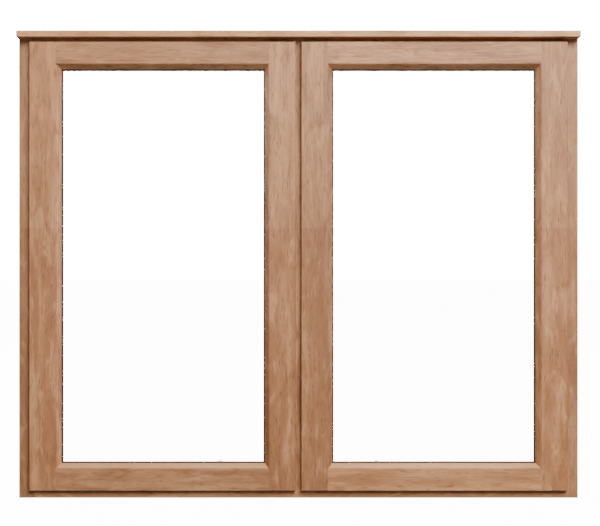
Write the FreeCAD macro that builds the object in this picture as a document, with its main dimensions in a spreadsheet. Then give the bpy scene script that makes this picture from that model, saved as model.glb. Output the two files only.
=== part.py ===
# Double casement window: a hardwood frame with two outward-opening, storm-proof (lipped) sashes.
# Millimetres. X runs across the window, Y from outside (-) to inside (+), Z up.
# The origin is the middle of the sill's underside, halfway through the frame's depth.
# The two lights mirror each other about X = 0, so their pieces are placed by their distance
# from the centre line and a side: -1 for the left light, +1 for the right one.
import FreeCAD, Part
import os

import Sketcher

SIZES = {
    # outer frame
    "overall_width": 1200.0,
    "overall_height": 1000.0,
    "frame_depth": 69.0,
    "jamb_face": 33.0,
    "head_face": 31.0,
    "sill_face": 26.0,
    "mullion_face": 28.0,
    "stop_width": 12.0,
    "sill_fall": 1.5,
    "throat_width": 5.0,
    "throat_depth": 4.0,
    "throat_setback": 6.0,
    "frame_arris": 1.5,
    "frame_tenon": 35.0,
    "frame_tenon_thick": 18.0,
    "frame_tenon_shoulder": 8.0,
    "mullion_tenon_width": 16.0,
    "fixing_hole": 8.0,
    "fixing_edge": 150.0,
    "peg_diameter": 8.0,
    "frame_peg_length": 54.0,
    "sash_peg_length": 26.0,
    # drip mould along the head
    "drip_height": 15.0,
    "drip_projection": 25.0,
    "drip_fall": 1.0,
    "drip_nose": 2.5,
    "drip_tongue": 6.0,
    # sashes
    "sash_thick": 44.0,
    "sash_gap": 3.0,
    "stop_gap": 2.0,
    "lip_overlap": 11.0,
    "lip_thick": 12.0,
    "lip_gap": 1.5,
    "lip_relief": 2.5,
    "stile_flat": 56.5,
    "rail_flat": 47.0,
    "sash_arris": 1.8,
    "moulding_width": 10.0,
    "moulding_depth": 16.0,
    "quirk": 2.2,
    "quirk_width": 1.5,
    "splay_edge": 2.0,
    "sash_tenon": 35.0,
    "sash_tenon_thick": 14.0,
    "sash_tenon_back": 10.0,
    # glazing
    "glass_thick": 4.0,
    "glass_clearance": 3.0,
    "tape_thick": 1.5,
    "tape_setback": 0.5,
    "block_length": 60.0,
    "bead_back": 1.0,
    "bead_splay": 6.5,
    "seal_width": 7.0,
    "seal_play": 0.3,
    # hinges
    "hinge_offset": 345.0,
    "hinge_length": 75.0,
    "hinge_inset": 5.0,
    "hinge_stand_off": 6.0,
    "knuckle_diameter": 8.4,
    "knuckle_gap": 0.3,
    "knuckle_clearance": 0.5,
    "hinge_pin": 4.8,
    "pin_clearance": 0.05,
    "leaf_thick": 1.2,
    "leaf_setback": 4.0,
    "screw_diameter": 3.0,
    "screw_head": 5.2,
    "screw_length": 13.0,
    "hinge_screw_pitch": 25.0,
    # latch on each meeting stile
    "latch_height": 498.5,
    "latch_reach": 20.0,
    "latch_plate_width": 20.0,
    "latch_plate_length": 57.0,
    "latch_plate_thick": 3.0,
    "latch_hub": 16.0,
    "latch_boss": 5.9,
    "latch_gap": 0.3,
    "lever_thick": 4.2,
    "lever_length": 55.0,
    "lever_width": 8.0,
    "grip_length": 34.0,
    "grip_thick": 9.0,
    "spur_length": 17.0,
    "spur_width": 6.0,
    "latch_pin": 6.0,
    "latch_cap": 10.0,
    "latch_cap_thick": 1.6,
    "latch_rest": 25.0,
    "catch_plate_thick": 1.5,
    "catch_plate_depth": 20.0,
    "catch_plate_height": 40.0,
    "catch_hook_reach": 7.0,
    "catch_hook_height": 15.0,
    "catch_hook_lift": 1.5,
    # peg stay on each bottom rail
    "stay_offset": 150.0,
    "stay_line": 16.0,
    "stay_swivel": 5.0,
    "stay_barrel": 13.0,
    "stay_seat": 2.5,
    "stay_joint_rise": 4.0,
    "stay_joint_reach": 14.0,
    "stay_joint_pin": 3.0,
    "stay_tongue": 4.0,
    "stay_play": 0.3,
    "stay_arm_width": 12.0,
    "stay_arm_thick": 4.0,
    "stay_arm_length": 240.0,
    "stay_peg_first": 120.0,
    "stay_peg_pitch": 80.0,
    "stay_peg": 6.0,
    "stay_peg_height": 7.0,
    "stay_peg_play": 0.8,
    "stay_peg_plate": 2.0,
    "stay_peg_plate_length": 18.0,
    "stay_peg_shank": 10.0,
    "stay_rest": 3.5,
    "bracket_plate_width": 30.0,
    "bracket_plate_height": 18.0,
    "bracket_plate_thick": 2.5,
    "bracket_tongue_thick": 3.0,
    "bracket_tongue_width": 14.0,
}

LEFT, RIGHT = -1, 1
SIDE_NAMES = {LEFT: "left", RIGHT: "right"}
X_AXIS = FreeCAD.Vector(1, 0, 0)
Y_AXIS = FreeCAD.Vector(0, 1, 0)
Z_AXIS = FreeCAD.Vector(0, 0, 1)
NEAR = 1e-4


class Size:
    """A length or an angle, kept as its value and as the sheet formula that gives it."""

    def __init__(self, value, formula):
        self.value = value
        self.formula = formula

    def __add__(self, other):
        other = as_size(other)
        return Size(self.value + other.value, f"({self.formula} + {other.formula})")

    def __radd__(self, other):
        return as_size(other) + self

    def __sub__(self, other):
        other = as_size(other)
        return Size(self.value - other.value, f"({self.formula} - {other.formula})")

    def __rsub__(self, other):
        return as_size(other) - self

    def __mul__(self, factor):
        return Size(self.value * factor, f"({self.formula} * {factor})")

    __rmul__ = __mul__

    def __truediv__(self, divisor):
        return Size(self.value / divisor, f"({self.formula} / {divisor})")

    def __neg__(self):
        return self * -1


def as_size(number):
    """Wraps a plain number, and leaves a Size as it is."""
    return number if isinstance(number, Size) else Size(float(number), f"({number})")


def named(alias):
    """The Size of one aliased cell of the sheet."""
    return Size(SIZES[alias], "Sizes." + alias)


def bind(obj, path, size):
    """Ties one property of an object to a size's formula."""
    obj.setExpression(path, as_size(size).formula)


# ---------------------------------------------------------------- document and sheet

doc = FreeCAD.newDocument("CasementWindow")
sheet = doc.addObject("Spreadsheet::Sheet", "Sizes")
for row, (alias, number) in enumerate(SIZES.items(), start=1):
    sheet.set(f"A{row}", alias)
    sheet.set(f"B{row}", str(number))
    sheet.setAlias(f"B{row}", alias)
doc.recompute()

sub_parts = []


# ---------------------------------------------------------------- modelling helpers

def span(side, near, far):
    """The X range of a stretch given by its distances from the centre line."""
    return (-far, -near) if side == LEFT else (near, far)


def middle(low, high):
    """The size halfway between two sizes."""
    return (low + high) / 2


def new_body(label, in_set=False):
    """Starts a body: a sub-part of its own, or one member of a set of like pieces."""
    body = doc.addObject("PartDesign::Body", label)
    body.Label = label
    if not in_set:
        sub_parts.append(body)
    return body


def closed_sketch(body, plane, loops, offset):
    """Draws closed outlines on one of the body's planes, every corner tied to the sheet.

    The plane is XY, XZ or YZ, the corners are pairs along its two axes, and the offset is
    along the third axis.
    """
    sketch = body.newObject("Sketcher::SketchObject", f"{body.Label}_outline")
    origin_plane = next(f for f in body.Origin.OriginFeatures if f.Role == f"{plane}_Plane")
    sketch.AttachmentSupport = [(origin_plane, "")]
    sketch.MapMode = "FlatFace"
    bind(sketch, "AttachmentOffset.Base.z", -offset if plane == "XZ" else offset)
    for corners in loops:
        points = [FreeCAD.Vector(as_size(a).value, as_size(b).value, 0) for a, b in corners]
        first = sketch.GeometryCount
        count = len(points)
        for index in range(count):
            sketch.addGeometry(Part.LineSegment(points[index], points[(index + 1) % count]))
        for index in range(count):
            after = first + (index + 1) % count
            sketch.addConstraint(Sketcher.Constraint("Coincident", first + index, 2, after, 1))
        for index, corner in enumerate(corners):
            for kind, size in zip(("DistanceX", "DistanceY"), corner):
                size = as_size(size)
                at = sketch.addConstraint(
                    Sketcher.Constraint(kind, -1, 1, first + index, 1, size.value))
                bind(sketch, f"Constraints[{at}]", size)
    return sketch


def add_outline(body, plane, loops, low, high):
    """Pads closed outlines from low to high along the axis square to their plane."""
    sketch = closed_sketch(body, plane, loops, high if plane == "XZ" else low)
    feature = body.newObject("PartDesign::Pad", f"{body.Label}_pad")
    feature.Profile = sketch
    bind(feature, "Length", high - low)
    doc.recompute()
    return feature


def cut_outline(body, plane, loops, low, high):
    """Pockets closed outlines from low to high, and makes sure that wood or metal went."""
    before = body.Shape.Volume
    sketch = closed_sketch(body, plane, loops, low if plane == "XZ" else high)
    feature = body.newObject("PartDesign::Pocket", f"{body.Label}_pocket")
    feature.Profile = sketch
    bind(feature, "Length", high - low)
    doc.recompute()
    if not body.Shape.Volume < before:
        raise RuntimeError(f"{body.Label}: a pocket removed nothing")
    return feature


def place(feature, x, y, z):
    """Ties the base point of a feature to three sizes."""
    for axis, size in zip("xyz", (x, y, z)):
        bind(feature, f"Placement.Base.{axis}", size)


def block(body, kind, x_range, y_range, z_range):
    """Adds or cuts (kind Additive or Subtractive) a box between three pairs of sizes."""
    feature = body.newObject(f"PartDesign::{kind}Box", f"{body.Label}_{kind.lower()}_box")
    for name, (low, high) in zip(("Length", "Width", "Height"), (x_range, y_range, z_range)):
        bind(feature, name, high - low)
    place(feature, x_range[0], y_range[0], z_range[0])
    return feature


def rod(body, kind, direction, start, diameter, length):
    """Adds or cuts a cylinder that runs from its start point along a direction."""
    name = f"{body.Label}_{kind.lower()}_rod"
    feature = body.newObject(f"PartDesign::{kind}Cylinder", name)
    feature.Placement.Rotation = FreeCAD.Rotation(Z_AXIS, direction)
    bind(feature, "Radius", diameter / 2)
    bind(feature, "Height", length)
    place(feature, *start)
    return feature


def countersink(body, direction, start):
    """Cuts the seat of a countersunk screw head."""
    feature = body.newObject("PartDesign::SubtractiveCone", f"{body.Label}_countersink")
    feature.Placement.Rotation = FreeCAD.Rotation(Z_AXIS, direction)
    bind(feature, "Radius1", named("screw_head") / 2)
    bind(feature, "Radius2", named("screw_diameter") / 2)
    bind(feature, "Height", named("leaf_thick"))
    place(feature, *start)
    return feature


def edges_at(shape, **where):
    """Names the edges whose every corner lies at the given x, y or z."""
    names = []
    for index, edge in enumerate(shape.Edges, start=1):
        points = [vertex.Point for vertex in edge.Vertexes]
        near = [abs(getattr(point, axis) - as_size(size).value) < NEAR
                for point in points for axis, size in where.items()]
        if len(points) == 2 and all(near):
            names.append(f"Edge{index}")
    if not names:
        raise RuntimeError(f"no edge at {sorted(where)}")
    return names


def soften(body, kind, size, places):
    """Rounds (Fillet) or bevels (Chamfer) the edges at the given places of a body."""
    doc.recompute()
    base = body.Tip
    names = sorted({name for where in places for name in edges_at(base.Shape, **where)})
    feature = body.newObject(f"PartDesign::{kind}", f"{body.Label}_{kind.lower()}")
    feature.Base = (base, names)
    bind(feature, "Radius" if kind == "Fillet" else "Size", size)
    doc.recompute()
    return feature


def loose_rod(name, direction, start, diameter, length):
    """A cylinder that is one member of a set of like pieces."""
    piece = doc.addObject("Part::Cylinder", name)
    piece.Placement.Rotation = FreeCAD.Rotation(Z_AXIS, direction)
    bind(piece, "Radius", diameter / 2)
    bind(piece, "Height", length)
    place(piece, *start)
    return piece


def loose_box(name, x_range, y_range, z_range):
    """A box that is one member of a set of like pieces."""
    piece = doc.addObject("Part::Box", name)
    for side_name, (low, high) in zip(("Length", "Width", "Height"), (x_range, y_range, z_range)):
        bind(piece, side_name, high - low)
    place(piece, x_range[0], y_range[0], z_range[0])
    return piece


def fused(name, members):
    """One solid made of overlapping members."""
    piece = doc.addObject("Part::MultiFuse", name)
    piece.Shapes = members
    return piece


def gathered(label, members):
    """One sub-part made of separate like pieces."""
    group = doc.addObject("Part::Compound", label)
    group.Label = label
    group.Links = members
    sub_parts.append(group)
    return group


def shifted(point, direction, distance):
    """A point moved along one of the main directions."""
    return tuple(size + distance * part for size, part in zip(point, direction))


def screw(name, direction, start):
    """A countersunk wood screw, its head flush at the start point."""
    head = doc.addObject("Part::Cone", f"{name}_head")
    head.Placement.Rotation = FreeCAD.Rotation(Z_AXIS, direction)
    bind(head, "Radius1", named("screw_head") / 2)
    bind(head, "Radius2", named("screw_diameter") / 2)
    bind(head, "Height", named("leaf_thick"))
    place(head, *start)
    shank_start = shifted(start, direction, named("leaf_thick"))
    shank = loose_rod(f"{name}_shank", direction, shank_start, named("screw_diameter"),
                      named("screw_length") - named("leaf_thick"))
    return fused(name, [head, shank])


# ---------------------------------------------------------------- positions in the frame

WIDE = named("overall_width") / 2
HIGH = named("overall_height")
FRONT = -named("frame_depth") / 2
BACK = named("frame_depth") / 2

# The rebate is as deep as the sash needs: the lip stands off the frame's face, and the sash's
# back stops short of the stop by the room that the seal takes.
LIP_BACK = FRONT - named("lip_gap")
SASH_FRONT = LIP_BACK - named("lip_thick")
SASH_BACK = SASH_FRONT + named("sash_thick")
STOP = SASH_BACK + named("stop_gap")

JAMB_REBATE = WIDE - named("jamb_face")
JAMB_STOP = JAMB_REBATE - named("stop_width")
MULLION_REBATE = named("mullion_face") / 2
MULLION_STOP = MULLION_REBATE + named("stop_width")
SILL_REBATE = named("sill_face")
SILL_STOP = SILL_REBATE + named("stop_width")
HEAD_REBATE = HIGH - named("head_face")
HEAD_STOP = HEAD_REBATE - named("stop_width")

TENON_FRONT = STOP - named("frame_tenon_thick") * 2 / 3
TENON_BACK = TENON_FRONT + named("frame_tenon_thick")
TENON_END = JAMB_STOP + named("frame_tenon")
PEG_LINE = middle(JAMB_REBATE, TENON_END)
FIXING_HEIGHTS = (named("fixing_edge"), HIGH / 2, HIGH - named("fixing_edge"))
SILL_TENON = (named("frame_tenon_shoulder"), SILL_REBATE - named("frame_tenon_shoulder") / 2)
HEAD_TENON = (HEAD_REBATE + named("frame_tenon_shoulder") / 2, HIGH - named("frame_tenon_shoulder"))
MULLION_FOOT = named("frame_tenon_shoulder")
MULLION_TOP = HIGH - named("frame_tenon_shoulder")

DRIP_LOW = HIGH - named("drip_height")
DRIP_FRONT = FRONT - named("drip_projection")
DRIP_TONGUE_LOW = DRIP_LOW + named("drip_height") / 4

# ---------------------------------------------------------------- positions in a sash

# Each edge of a sash has the same five lines, from its outer edge to the daylight.
TONGUE_OUT = JAMB_REBATE - named("sash_gap")
TONGUE_IN = MULLION_REBATE + named("sash_gap")
TONGUE_LOW = SILL_REBATE + named("sash_gap")
TONGUE_HIGH = HEAD_REBATE - named("sash_gap")
LIP_OUT = TONGUE_OUT + named("lip_overlap")
LIP_IN = TONGUE_IN - named("lip_overlap")
LIP_LOW = TONGUE_LOW - named("lip_overlap")
LIP_HIGH = TONGUE_HIGH + named("lip_overlap")
FLAT_OUT = LIP_OUT - named("stile_flat")
FLAT_IN = LIP_IN + named("stile_flat")
FLAT_LOW = LIP_LOW + named("rail_flat")
FLAT_HIGH = LIP_HIGH - named("rail_flat")
SIGHT_OUT = FLAT_OUT - named("moulding_width")
SIGHT_IN = FLAT_IN + named("moulding_width")
SIGHT_LOW = FLAT_LOW + named("moulding_width")
SIGHT_HIGH = FLAT_HIGH - named("moulding_width")

MOULDING_FRONT = SASH_FRONT + named("quirk")
GLASS_SEAT = SASH_FRONT + named("moulding_depth")
SPLAY_BACK = GLASS_SEAT - named("splay_edge")
GLASS_FRONT = GLASS_SEAT + named("tape_thick")
GLASS_BACK = GLASS_FRONT + named("glass_thick")
BEAD_FRONT = GLASS_BACK + named("tape_thick")
BEAD_BACK = SASH_BACK - named("bead_back")

SASH_TENON_BACK = SASH_BACK - named("sash_tenon_back")
SASH_TENON_FRONT = SASH_TENON_BACK - named("sash_tenon_thick")
TOP_TENON = (FLAT_HIGH + named("frame_tenon_shoulder") / 2, TONGUE_HIGH - named("sash_gap") * 2)
BOTTOM_TENON = (TONGUE_LOW + named("sash_gap") * 2, FLAT_LOW - named("frame_tenon_shoulder") / 2)
SASH_PEGS = [(line, middle(*tenon))
             for line in (FLAT_OUT + named("sash_tenon") * 0.4, FLAT_IN - named("sash_tenon") * 0.4)
             for tenon in (TOP_TENON, BOTTOM_TENON)]

MID_HEIGHT = middle(LIP_LOW, LIP_HIGH)
HINGE_HEIGHTS = (MID_HEIGHT - named("hinge_offset"), MID_HEIGHT + named("hinge_offset"))
HINGES = tuple(zip(("lower", "upper"), HINGE_HEIGHTS))
HINGE_LINE = LIP_OUT - named("hinge_inset")
HINGE_Y = FRONT - named("hinge_stand_off")
LEAF_BACK = SASH_BACK - named("leaf_setback")
LEAF_SCREW_Y = middle(LIP_BACK, LEAF_BACK)


# ---------------------------------------------------------------- outer frame

def bore_frame_pegs(body, lines):
    """Bores the blind peg holes, from the inside face, at (x, z) lines."""
    for x, z in lines:
        rod(body, "Subtractive", -Y_AXIS, (x, BACK, z), named("peg_diameter"), named("frame_peg_length"))


CORNER_PEGS = {side: [(side * PEG_LINE, middle(*SILL_TENON)), (side * PEG_LINE, middle(*HEAD_TENON))]
               for side in (LEFT, RIGHT)}
MULLION_PEGS = [(0 * WIDE, middle(MULLION_FOOT, SILL_REBATE)), (0 * WIDE, middle(HEAD_REBATE, MULLION_TOP))]


def build_jamb(side):
    """A full-height jamb, rebated for the sash, with mortises, hinge recesses and fixing holes."""
    body = new_body(f"jamb_{SIDE_NAMES[side]}")
    section = [(side * WIDE, FRONT), (side * JAMB_REBATE, FRONT), (side * JAMB_REBATE, STOP),
               (side * JAMB_STOP, STOP), (side * JAMB_STOP, BACK), (side * WIDE, BACK)]
    add_outline(body, "XY", [section], as_size(0), HIGH)
    soften(body, "Fillet", named("frame_arris"),
           [{"x": side * WIDE, "y": FRONT}, {"y": FRONT, "z": 0}, {"x": side * WIDE, "y": BACK}])
    for tenon in (SILL_TENON, HEAD_TENON):
        block(body, "Subtractive", span(side, JAMB_STOP, TENON_END), (TENON_FRONT, TENON_BACK), tenon)
    bore_frame_pegs(body, CORNER_PEGS[side])
    leaf = span(side, JAMB_REBATE, JAMB_REBATE + named("leaf_thick"))
    for height in HINGE_HEIGHTS:
        half = named("hinge_length") / 2
        block(body, "Subtractive", leaf, (FRONT, LEAF_BACK), (height - half, height + half))
        for step in (-1, 0, 1):
            start = (side * (JAMB_REBATE + named("leaf_thick")), LEAF_SCREW_Y,
                     height + step * named("hinge_screw_pitch"))
            rod(body, "Subtractive", side * X_AXIS, start, named("screw_diameter"),
                named("screw_length") - named("leaf_thick"))
    for height in FIXING_HEIGHTS:
        start = (side * JAMB_STOP, middle(STOP, BACK), height)
        rod(body, "Subtractive", side * X_AXIS, start, named("fixing_hole"), WIDE - JAMB_STOP)
    doc.recompute()
    return body


def build_sill():
    """The sill: a weathered front under the sashes, the inner stop behind, a throat beneath."""
    body = new_body("sill")
    front = [(FRONT, as_size(0)), (STOP, as_size(0)), (STOP, SILL_REBATE),
             (FRONT, SILL_REBATE - named("sill_fall"))]
    back = [(STOP, as_size(0)), (BACK, as_size(0)), (BACK, SILL_STOP), (STOP, SILL_STOP)]
    add_outline(body, "YZ", [front], -JAMB_REBATE, JAMB_REBATE)
    add_outline(body, "YZ", [back], -JAMB_STOP, JAMB_STOP)
    soften(body, "Fillet", named("frame_arris"), [{"y": FRONT, "z": 0}])
    throat = FRONT + named("throat_setback")
    block(body, "Subtractive", (-JAMB_REBATE, JAMB_REBATE), (throat, throat + named("throat_width")),
          (as_size(0), named("throat_depth")))
    block(body, "Additive", (-TENON_END, TENON_END), (TENON_FRONT, TENON_BACK), SILL_TENON)
    half = named("mullion_tenon_width") / 2
    block(body, "Subtractive", (-half, half), (TENON_FRONT, TENON_BACK), (MULLION_FOOT, SILL_STOP))
    bore_frame_pegs(body, CORNER_PEGS[LEFT] + CORNER_PEGS[RIGHT] + MULLION_PEGS[:1])
    for side in (LEFT, RIGHT):
        for distance in STAY_PEG_LINES:
            start = (side * distance, STAY_LINE_Y, SILL_STOP)
            rod(body, "Subtractive", -Z_AXIS, start, named("stay_peg"), named("stay_peg_shank"))
    doc.recompute()
    return body


def build_head():
    """The head: the sill's section turned over, grooved for the drip mould's tongue."""
    body = new_body("head")
    front = [(FRONT, HEAD_REBATE), (STOP, HEAD_REBATE), (STOP, HIGH), (FRONT, HIGH)]
    back = [(STOP, HEAD_STOP), (BACK, HEAD_STOP), (BACK, HIGH), (STOP, HIGH)]
    add_outline(body, "YZ", [front], -JAMB_REBATE, JAMB_REBATE)
    add_outline(body, "YZ", [back], -JAMB_STOP, JAMB_STOP)
    block(body, "Additive", (-TENON_END, TENON_END), (TENON_FRONT, TENON_BACK), HEAD_TENON)
    block(body, "Subtractive", (-JAMB_REBATE, JAMB_REBATE), (FRONT, FRONT + named("drip_tongue")),
          (DRIP_TONGUE_LOW, DRIP_TONGUE_LOW + named("drip_tongue")))
    half = named("mullion_tenon_width") / 2
    block(body, "Subtractive", (-half, half), (TENON_FRONT, TENON_BACK), (HEAD_STOP, MULLION_TOP))
    bore_frame_pegs(body, CORNER_PEGS[LEFT] + CORNER_PEGS[RIGHT] + MULLION_PEGS[1:])
    doc.recompute()
    return body


def build_mullion():
    """The centre mullion, rebated on both sides and tenoned into the sill and the head."""
    body = new_body("mullion")
    front = [(FRONT, SILL_REBATE - named("sill_fall")), (STOP, SILL_REBATE),
             (STOP, HEAD_REBATE), (FRONT, HEAD_REBATE)]
    back = [(STOP, SILL_STOP), (BACK, SILL_STOP), (BACK, HEAD_STOP), (STOP, HEAD_STOP)]
    add_outline(body, "YZ", [front], -MULLION_REBATE, MULLION_REBATE)
    add_outline(body, "YZ", [back], -MULLION_STOP, MULLION_STOP)
    half = named("mullion_tenon_width") / 2
    block(body, "Additive", (-half, half), (TENON_FRONT, TENON_BACK), (MULLION_FOOT, MULLION_TOP))
    bore_frame_pegs(body, MULLION_PEGS)
    for side in (LEFT, RIGHT):
        for height in CATCH_SCREW_HEIGHTS:
            rod(body, "Subtractive", -side * X_AXIS, (side * MULLION_STOP, CATCH_SCREW_Y, height),
                named("screw_diameter"), named("screw_length") - named("catch_plate_thick"))
    doc.recompute()
    return body


def build_drip_mould():
    """The drip mould: a weathered top, a rounded nose and a throat, tongued into the head."""
    body = new_body("drip_mould")
    throat = DRIP_FRONT + named("throat_setback")
    section = [(FRONT, DRIP_LOW), (FRONT, HIGH), (DRIP_FRONT, HIGH - named("drip_fall")),
               (DRIP_FRONT, DRIP_LOW)]
    add_outline(body, "YZ", [section], -WIDE, WIDE)
    soften(body, "Fillet", named("drip_nose"),
           [{"y": DRIP_FRONT, "z": HIGH - named("drip_fall")}])
    soften(body, "Fillet", named("frame_arris"), [{"y": DRIP_FRONT, "z": DRIP_LOW}])
    block(body, "Subtractive", (-WIDE, WIDE), (throat, throat + named("throat_width")),
          (DRIP_LOW, DRIP_LOW + named("throat_depth")))
    block(body, "Additive", (-JAMB_REBATE, JAMB_REBATE), (FRONT, FRONT + named("drip_tongue")),
          (DRIP_TONGUE_LOW, DRIP_TONGUE_LOW + named("drip_tongue")))
    doc.recompute()
    return body


def build_frame_pegs():
    """The draw pegs that lock the frame's tenons, seen only from inside."""
    lines = CORNER_PEGS[LEFT] + CORNER_PEGS[RIGHT] + MULLION_PEGS
    return gathered("frame_pegs", [
        loose_rod(f"frame_peg_{number}", -Y_AXIS, (x, BACK, z), named("peg_diameter"),
                  named("frame_peg_length"))
        for number, (x, z) in enumerate(lines, start=1)])


def build_weather_seal(side):
    """The compression seal on the stops, all round one light."""
    body = new_body(f"weather_seal_{SIDE_NAMES[side]}")
    width = named("seal_width")
    outer = rectangle(side, TONGUE_IN, TONGUE_OUT, TONGUE_LOW, TONGUE_HIGH)
    inner = rectangle(side, TONGUE_IN + width, TONGUE_OUT - width, TONGUE_LOW + width, TONGUE_HIGH - width)
    add_outline(body, "XZ", [outer, inner], SASH_BACK + named("seal_play"), STOP)
    return body


def rectangle(side, near, far, low, high):
    """The four corners of an upright rectangle on one side of the centre line."""
    return [(side * near, low), (side * far, low), (side * far, high), (side * near, high)]


# ---------------------------------------------------------------- sashes

def stile_mitres(side, flat, sight):
    """The triangles that come off the two ends of an upright strip."""
    return [[(side * flat, flat_z), (side * sight, flat_z), (side * sight, sight_z)]
            for flat_z, sight_z in ((FLAT_LOW, SIGHT_LOW), (FLAT_HIGH, SIGHT_HIGH))]


def rail_mitres(side, flat, sight):
    """The triangles that come off the two ends of a level strip."""
    return [[(side * flat_x, flat), (side * flat_x, sight), (side * sight_x, sight)]
            for flat_x, sight_x in ((FLAT_IN, SIGHT_IN), (FLAT_OUT, SIGHT_OUT))]


def moulding_section(flat, sight):
    """The moulding's outline, as (line, y) corners: a quirk beside the face, then a splay."""
    inward = 1 if sight.value > flat.value else -1
    return [(flat, MOULDING_FRONT), (flat + inward * named("quirk_width"), MOULDING_FRONT),
            (sight, SPLAY_BACK), (sight, GLASS_SEAT), (flat, GLASS_SEAT)]


def build_stile(side, which, lip, tongue, flat, sight):
    """A sash stile: core, lip, splayed moulding, end rebates and mortises."""
    body = new_body(f"{which}_stile_{SIDE_NAMES[side]}")
    core = [(side * lip, SASH_FRONT), (side * flat, SASH_FRONT), (side * flat, SASH_BACK),
            (side * tongue, SASH_BACK), (side * tongue, LIP_BACK), (side * lip, LIP_BACK)]
    add_outline(body, "XY", [core], LIP_LOW, LIP_HIGH)
    soften(body, "Fillet", named("sash_arris"),
           [{"x": side * lip, "y": SASH_FRONT}, {"y": SASH_FRONT, "z": LIP_LOW},
            {"y": SASH_FRONT, "z": LIP_HIGH}])
    soften(body, "Chamfer", named("lip_relief"), [{"x": side * lip, "y": LIP_BACK}])
    strip = [(side * line, y) for line, y in moulding_section(flat, sight)]
    add_outline(body, "XY", [strip], FLAT_LOW, FLAT_HIGH)
    for corner in stile_mitres(side, flat, sight):
        cut_outline(body, "XZ", [corner], SASH_FRONT, GLASS_SEAT)
    whole = span(side, *sorted((lip, flat), key=lambda size: size.value))
    for z_range in ((LIP_LOW, TONGUE_LOW), (TONGUE_HIGH, LIP_HIGH)):
        block(body, "Subtractive", whole, (LIP_BACK, SASH_BACK), z_range)
    mortise = span(side, *sorted((flat, tenon_end(flat, lip)), key=lambda size: size.value))
    for tenon in (TOP_TENON, BOTTOM_TENON):
        block(body, "Subtractive", mortise, (SASH_TENON_FRONT, SASH_TENON_BACK), tenon)
    return body


def tenon_end(flat, lip):
    """Where a rail tenon ends inside the stile that has this flat and lip."""
    outward = 1 if lip.value > flat.value else -1
    return flat + outward * named("sash_tenon")


def bore_sash_pegs(body, side, lines):
    """Bores the blind peg holes of a sash from its inside face."""
    for x, z in lines:
        rod(body, "Subtractive", -Y_AXIS, (side * x, SASH_BACK, z), named("peg_diameter"),
            named("sash_peg_length"))


def build_hinge_stile(side):
    """The outer stile, with slots behind the lip for the knuckles and recesses for the leaves."""
    body = build_stile(side, "hinge", LIP_OUT, TONGUE_OUT, FLAT_OUT, SIGHT_OUT)
    bore_sash_pegs(body, side, SASH_PEGS[:2])
    slot = named("knuckle_diameter") / 2 + named("knuckle_clearance")
    leaf_inner = TONGUE_OUT - named("leaf_thick")
    for height in HINGE_HEIGHTS:
        half = named("hinge_length") / 2
        block(body, "Subtractive", span(side, HINGE_LINE - slot, LIP_OUT), (HINGE_Y - slot, LIP_BACK),
              (height - half - named("knuckle_clearance"), height + half + named("knuckle_clearance")))
        block(body, "Subtractive", span(side, leaf_inner, HINGE_LINE - slot),
              (HINGE_Y - named("leaf_thick") / 2, LIP_BACK), (height - half, height + half))
        block(body, "Subtractive", span(side, leaf_inner, TONGUE_OUT), (LIP_BACK, LEAF_BACK),
              (height - half, height + half))
        for step in (-1, 0, 1):
            start = (side * leaf_inner, LEAF_SCREW_Y, height + step * named("hinge_screw_pitch"))
            rod(body, "Subtractive", -side * X_AXIS, start, named("screw_diameter"),
                named("screw_length") - named("leaf_thick"))
    doc.recompute()
    return body


def build_meeting_stile(side):
    """The stile beside the mullion, bored for the latch screws."""
    body = build_stile(side, "meeting", LIP_IN, TONGUE_IN, FLAT_IN, SIGHT_IN)
    bore_sash_pegs(body, side, SASH_PEGS[2:])
    for height in LATCH_SCREW_HEIGHTS:
        rod(body, "Subtractive", -Y_AXIS, (side * LATCH_LINE, SASH_BACK, height),
            named("screw_diameter"), named("screw_length") - named("latch_plate_thick"))
    doc.recompute()
    return body


def build_rail(side, which, lip, tongue, flat, sight, tenon):
    """A sash rail between the stiles: core, lip, splayed moulding and stub tenons."""
    body = new_body(f"{which}_rail_{SIDE_NAMES[side]}")
    core = [(SASH_FRONT, lip), (SASH_FRONT, flat), (SASH_BACK, flat),
            (SASH_BACK, tongue), (LIP_BACK, tongue), (LIP_BACK, lip)]
    add_outline(body, "YZ", [core], *span(side, FLAT_IN, FLAT_OUT))
    soften(body, "Fillet", named("sash_arris"), [{"y": SASH_FRONT, "z": lip}])
    strip = [(y, line) for line, y in moulding_section(flat, sight)]
    add_outline(body, "YZ", [strip], *span(side, FLAT_IN, FLAT_OUT))
    for corner in rail_mitres(side, flat, sight):
        cut_outline(body, "XZ", [corner], SASH_FRONT, GLASS_SEAT)
    tenon_span = span(side, FLAT_IN - named("sash_tenon"), FLAT_OUT + named("sash_tenon"))
    block(body, "Additive", tenon_span, (SASH_TENON_FRONT, SASH_TENON_BACK), tenon)
    bore_sash_pegs(body, side, [(x, z) for x, z in SASH_PEGS if tenon[0].value < z.value < tenon[1].value])
    if which == "bottom":
        for x in BRACKET_SCREW_LINES:
            rod(body, "Subtractive", -Y_AXIS, (side * x, SASH_BACK, BRACKET_SCREW_Z),
                named("screw_diameter"), named("screw_length") - named("bracket_plate_thick"))
    doc.recompute()
    return body


def build_glass(side):
    """One clear pane, held clear of its rebate all round."""
    body = new_body(f"glass_{SIDE_NAMES[side]}")
    clear = named("glass_clearance")
    block(body, "Additive", span(side, FLAT_IN + clear, FLAT_OUT - clear), (GLASS_FRONT, GLASS_BACK),
          (FLAT_LOW + clear, FLAT_HIGH - clear))
    doc.recompute()
    return body


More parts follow.
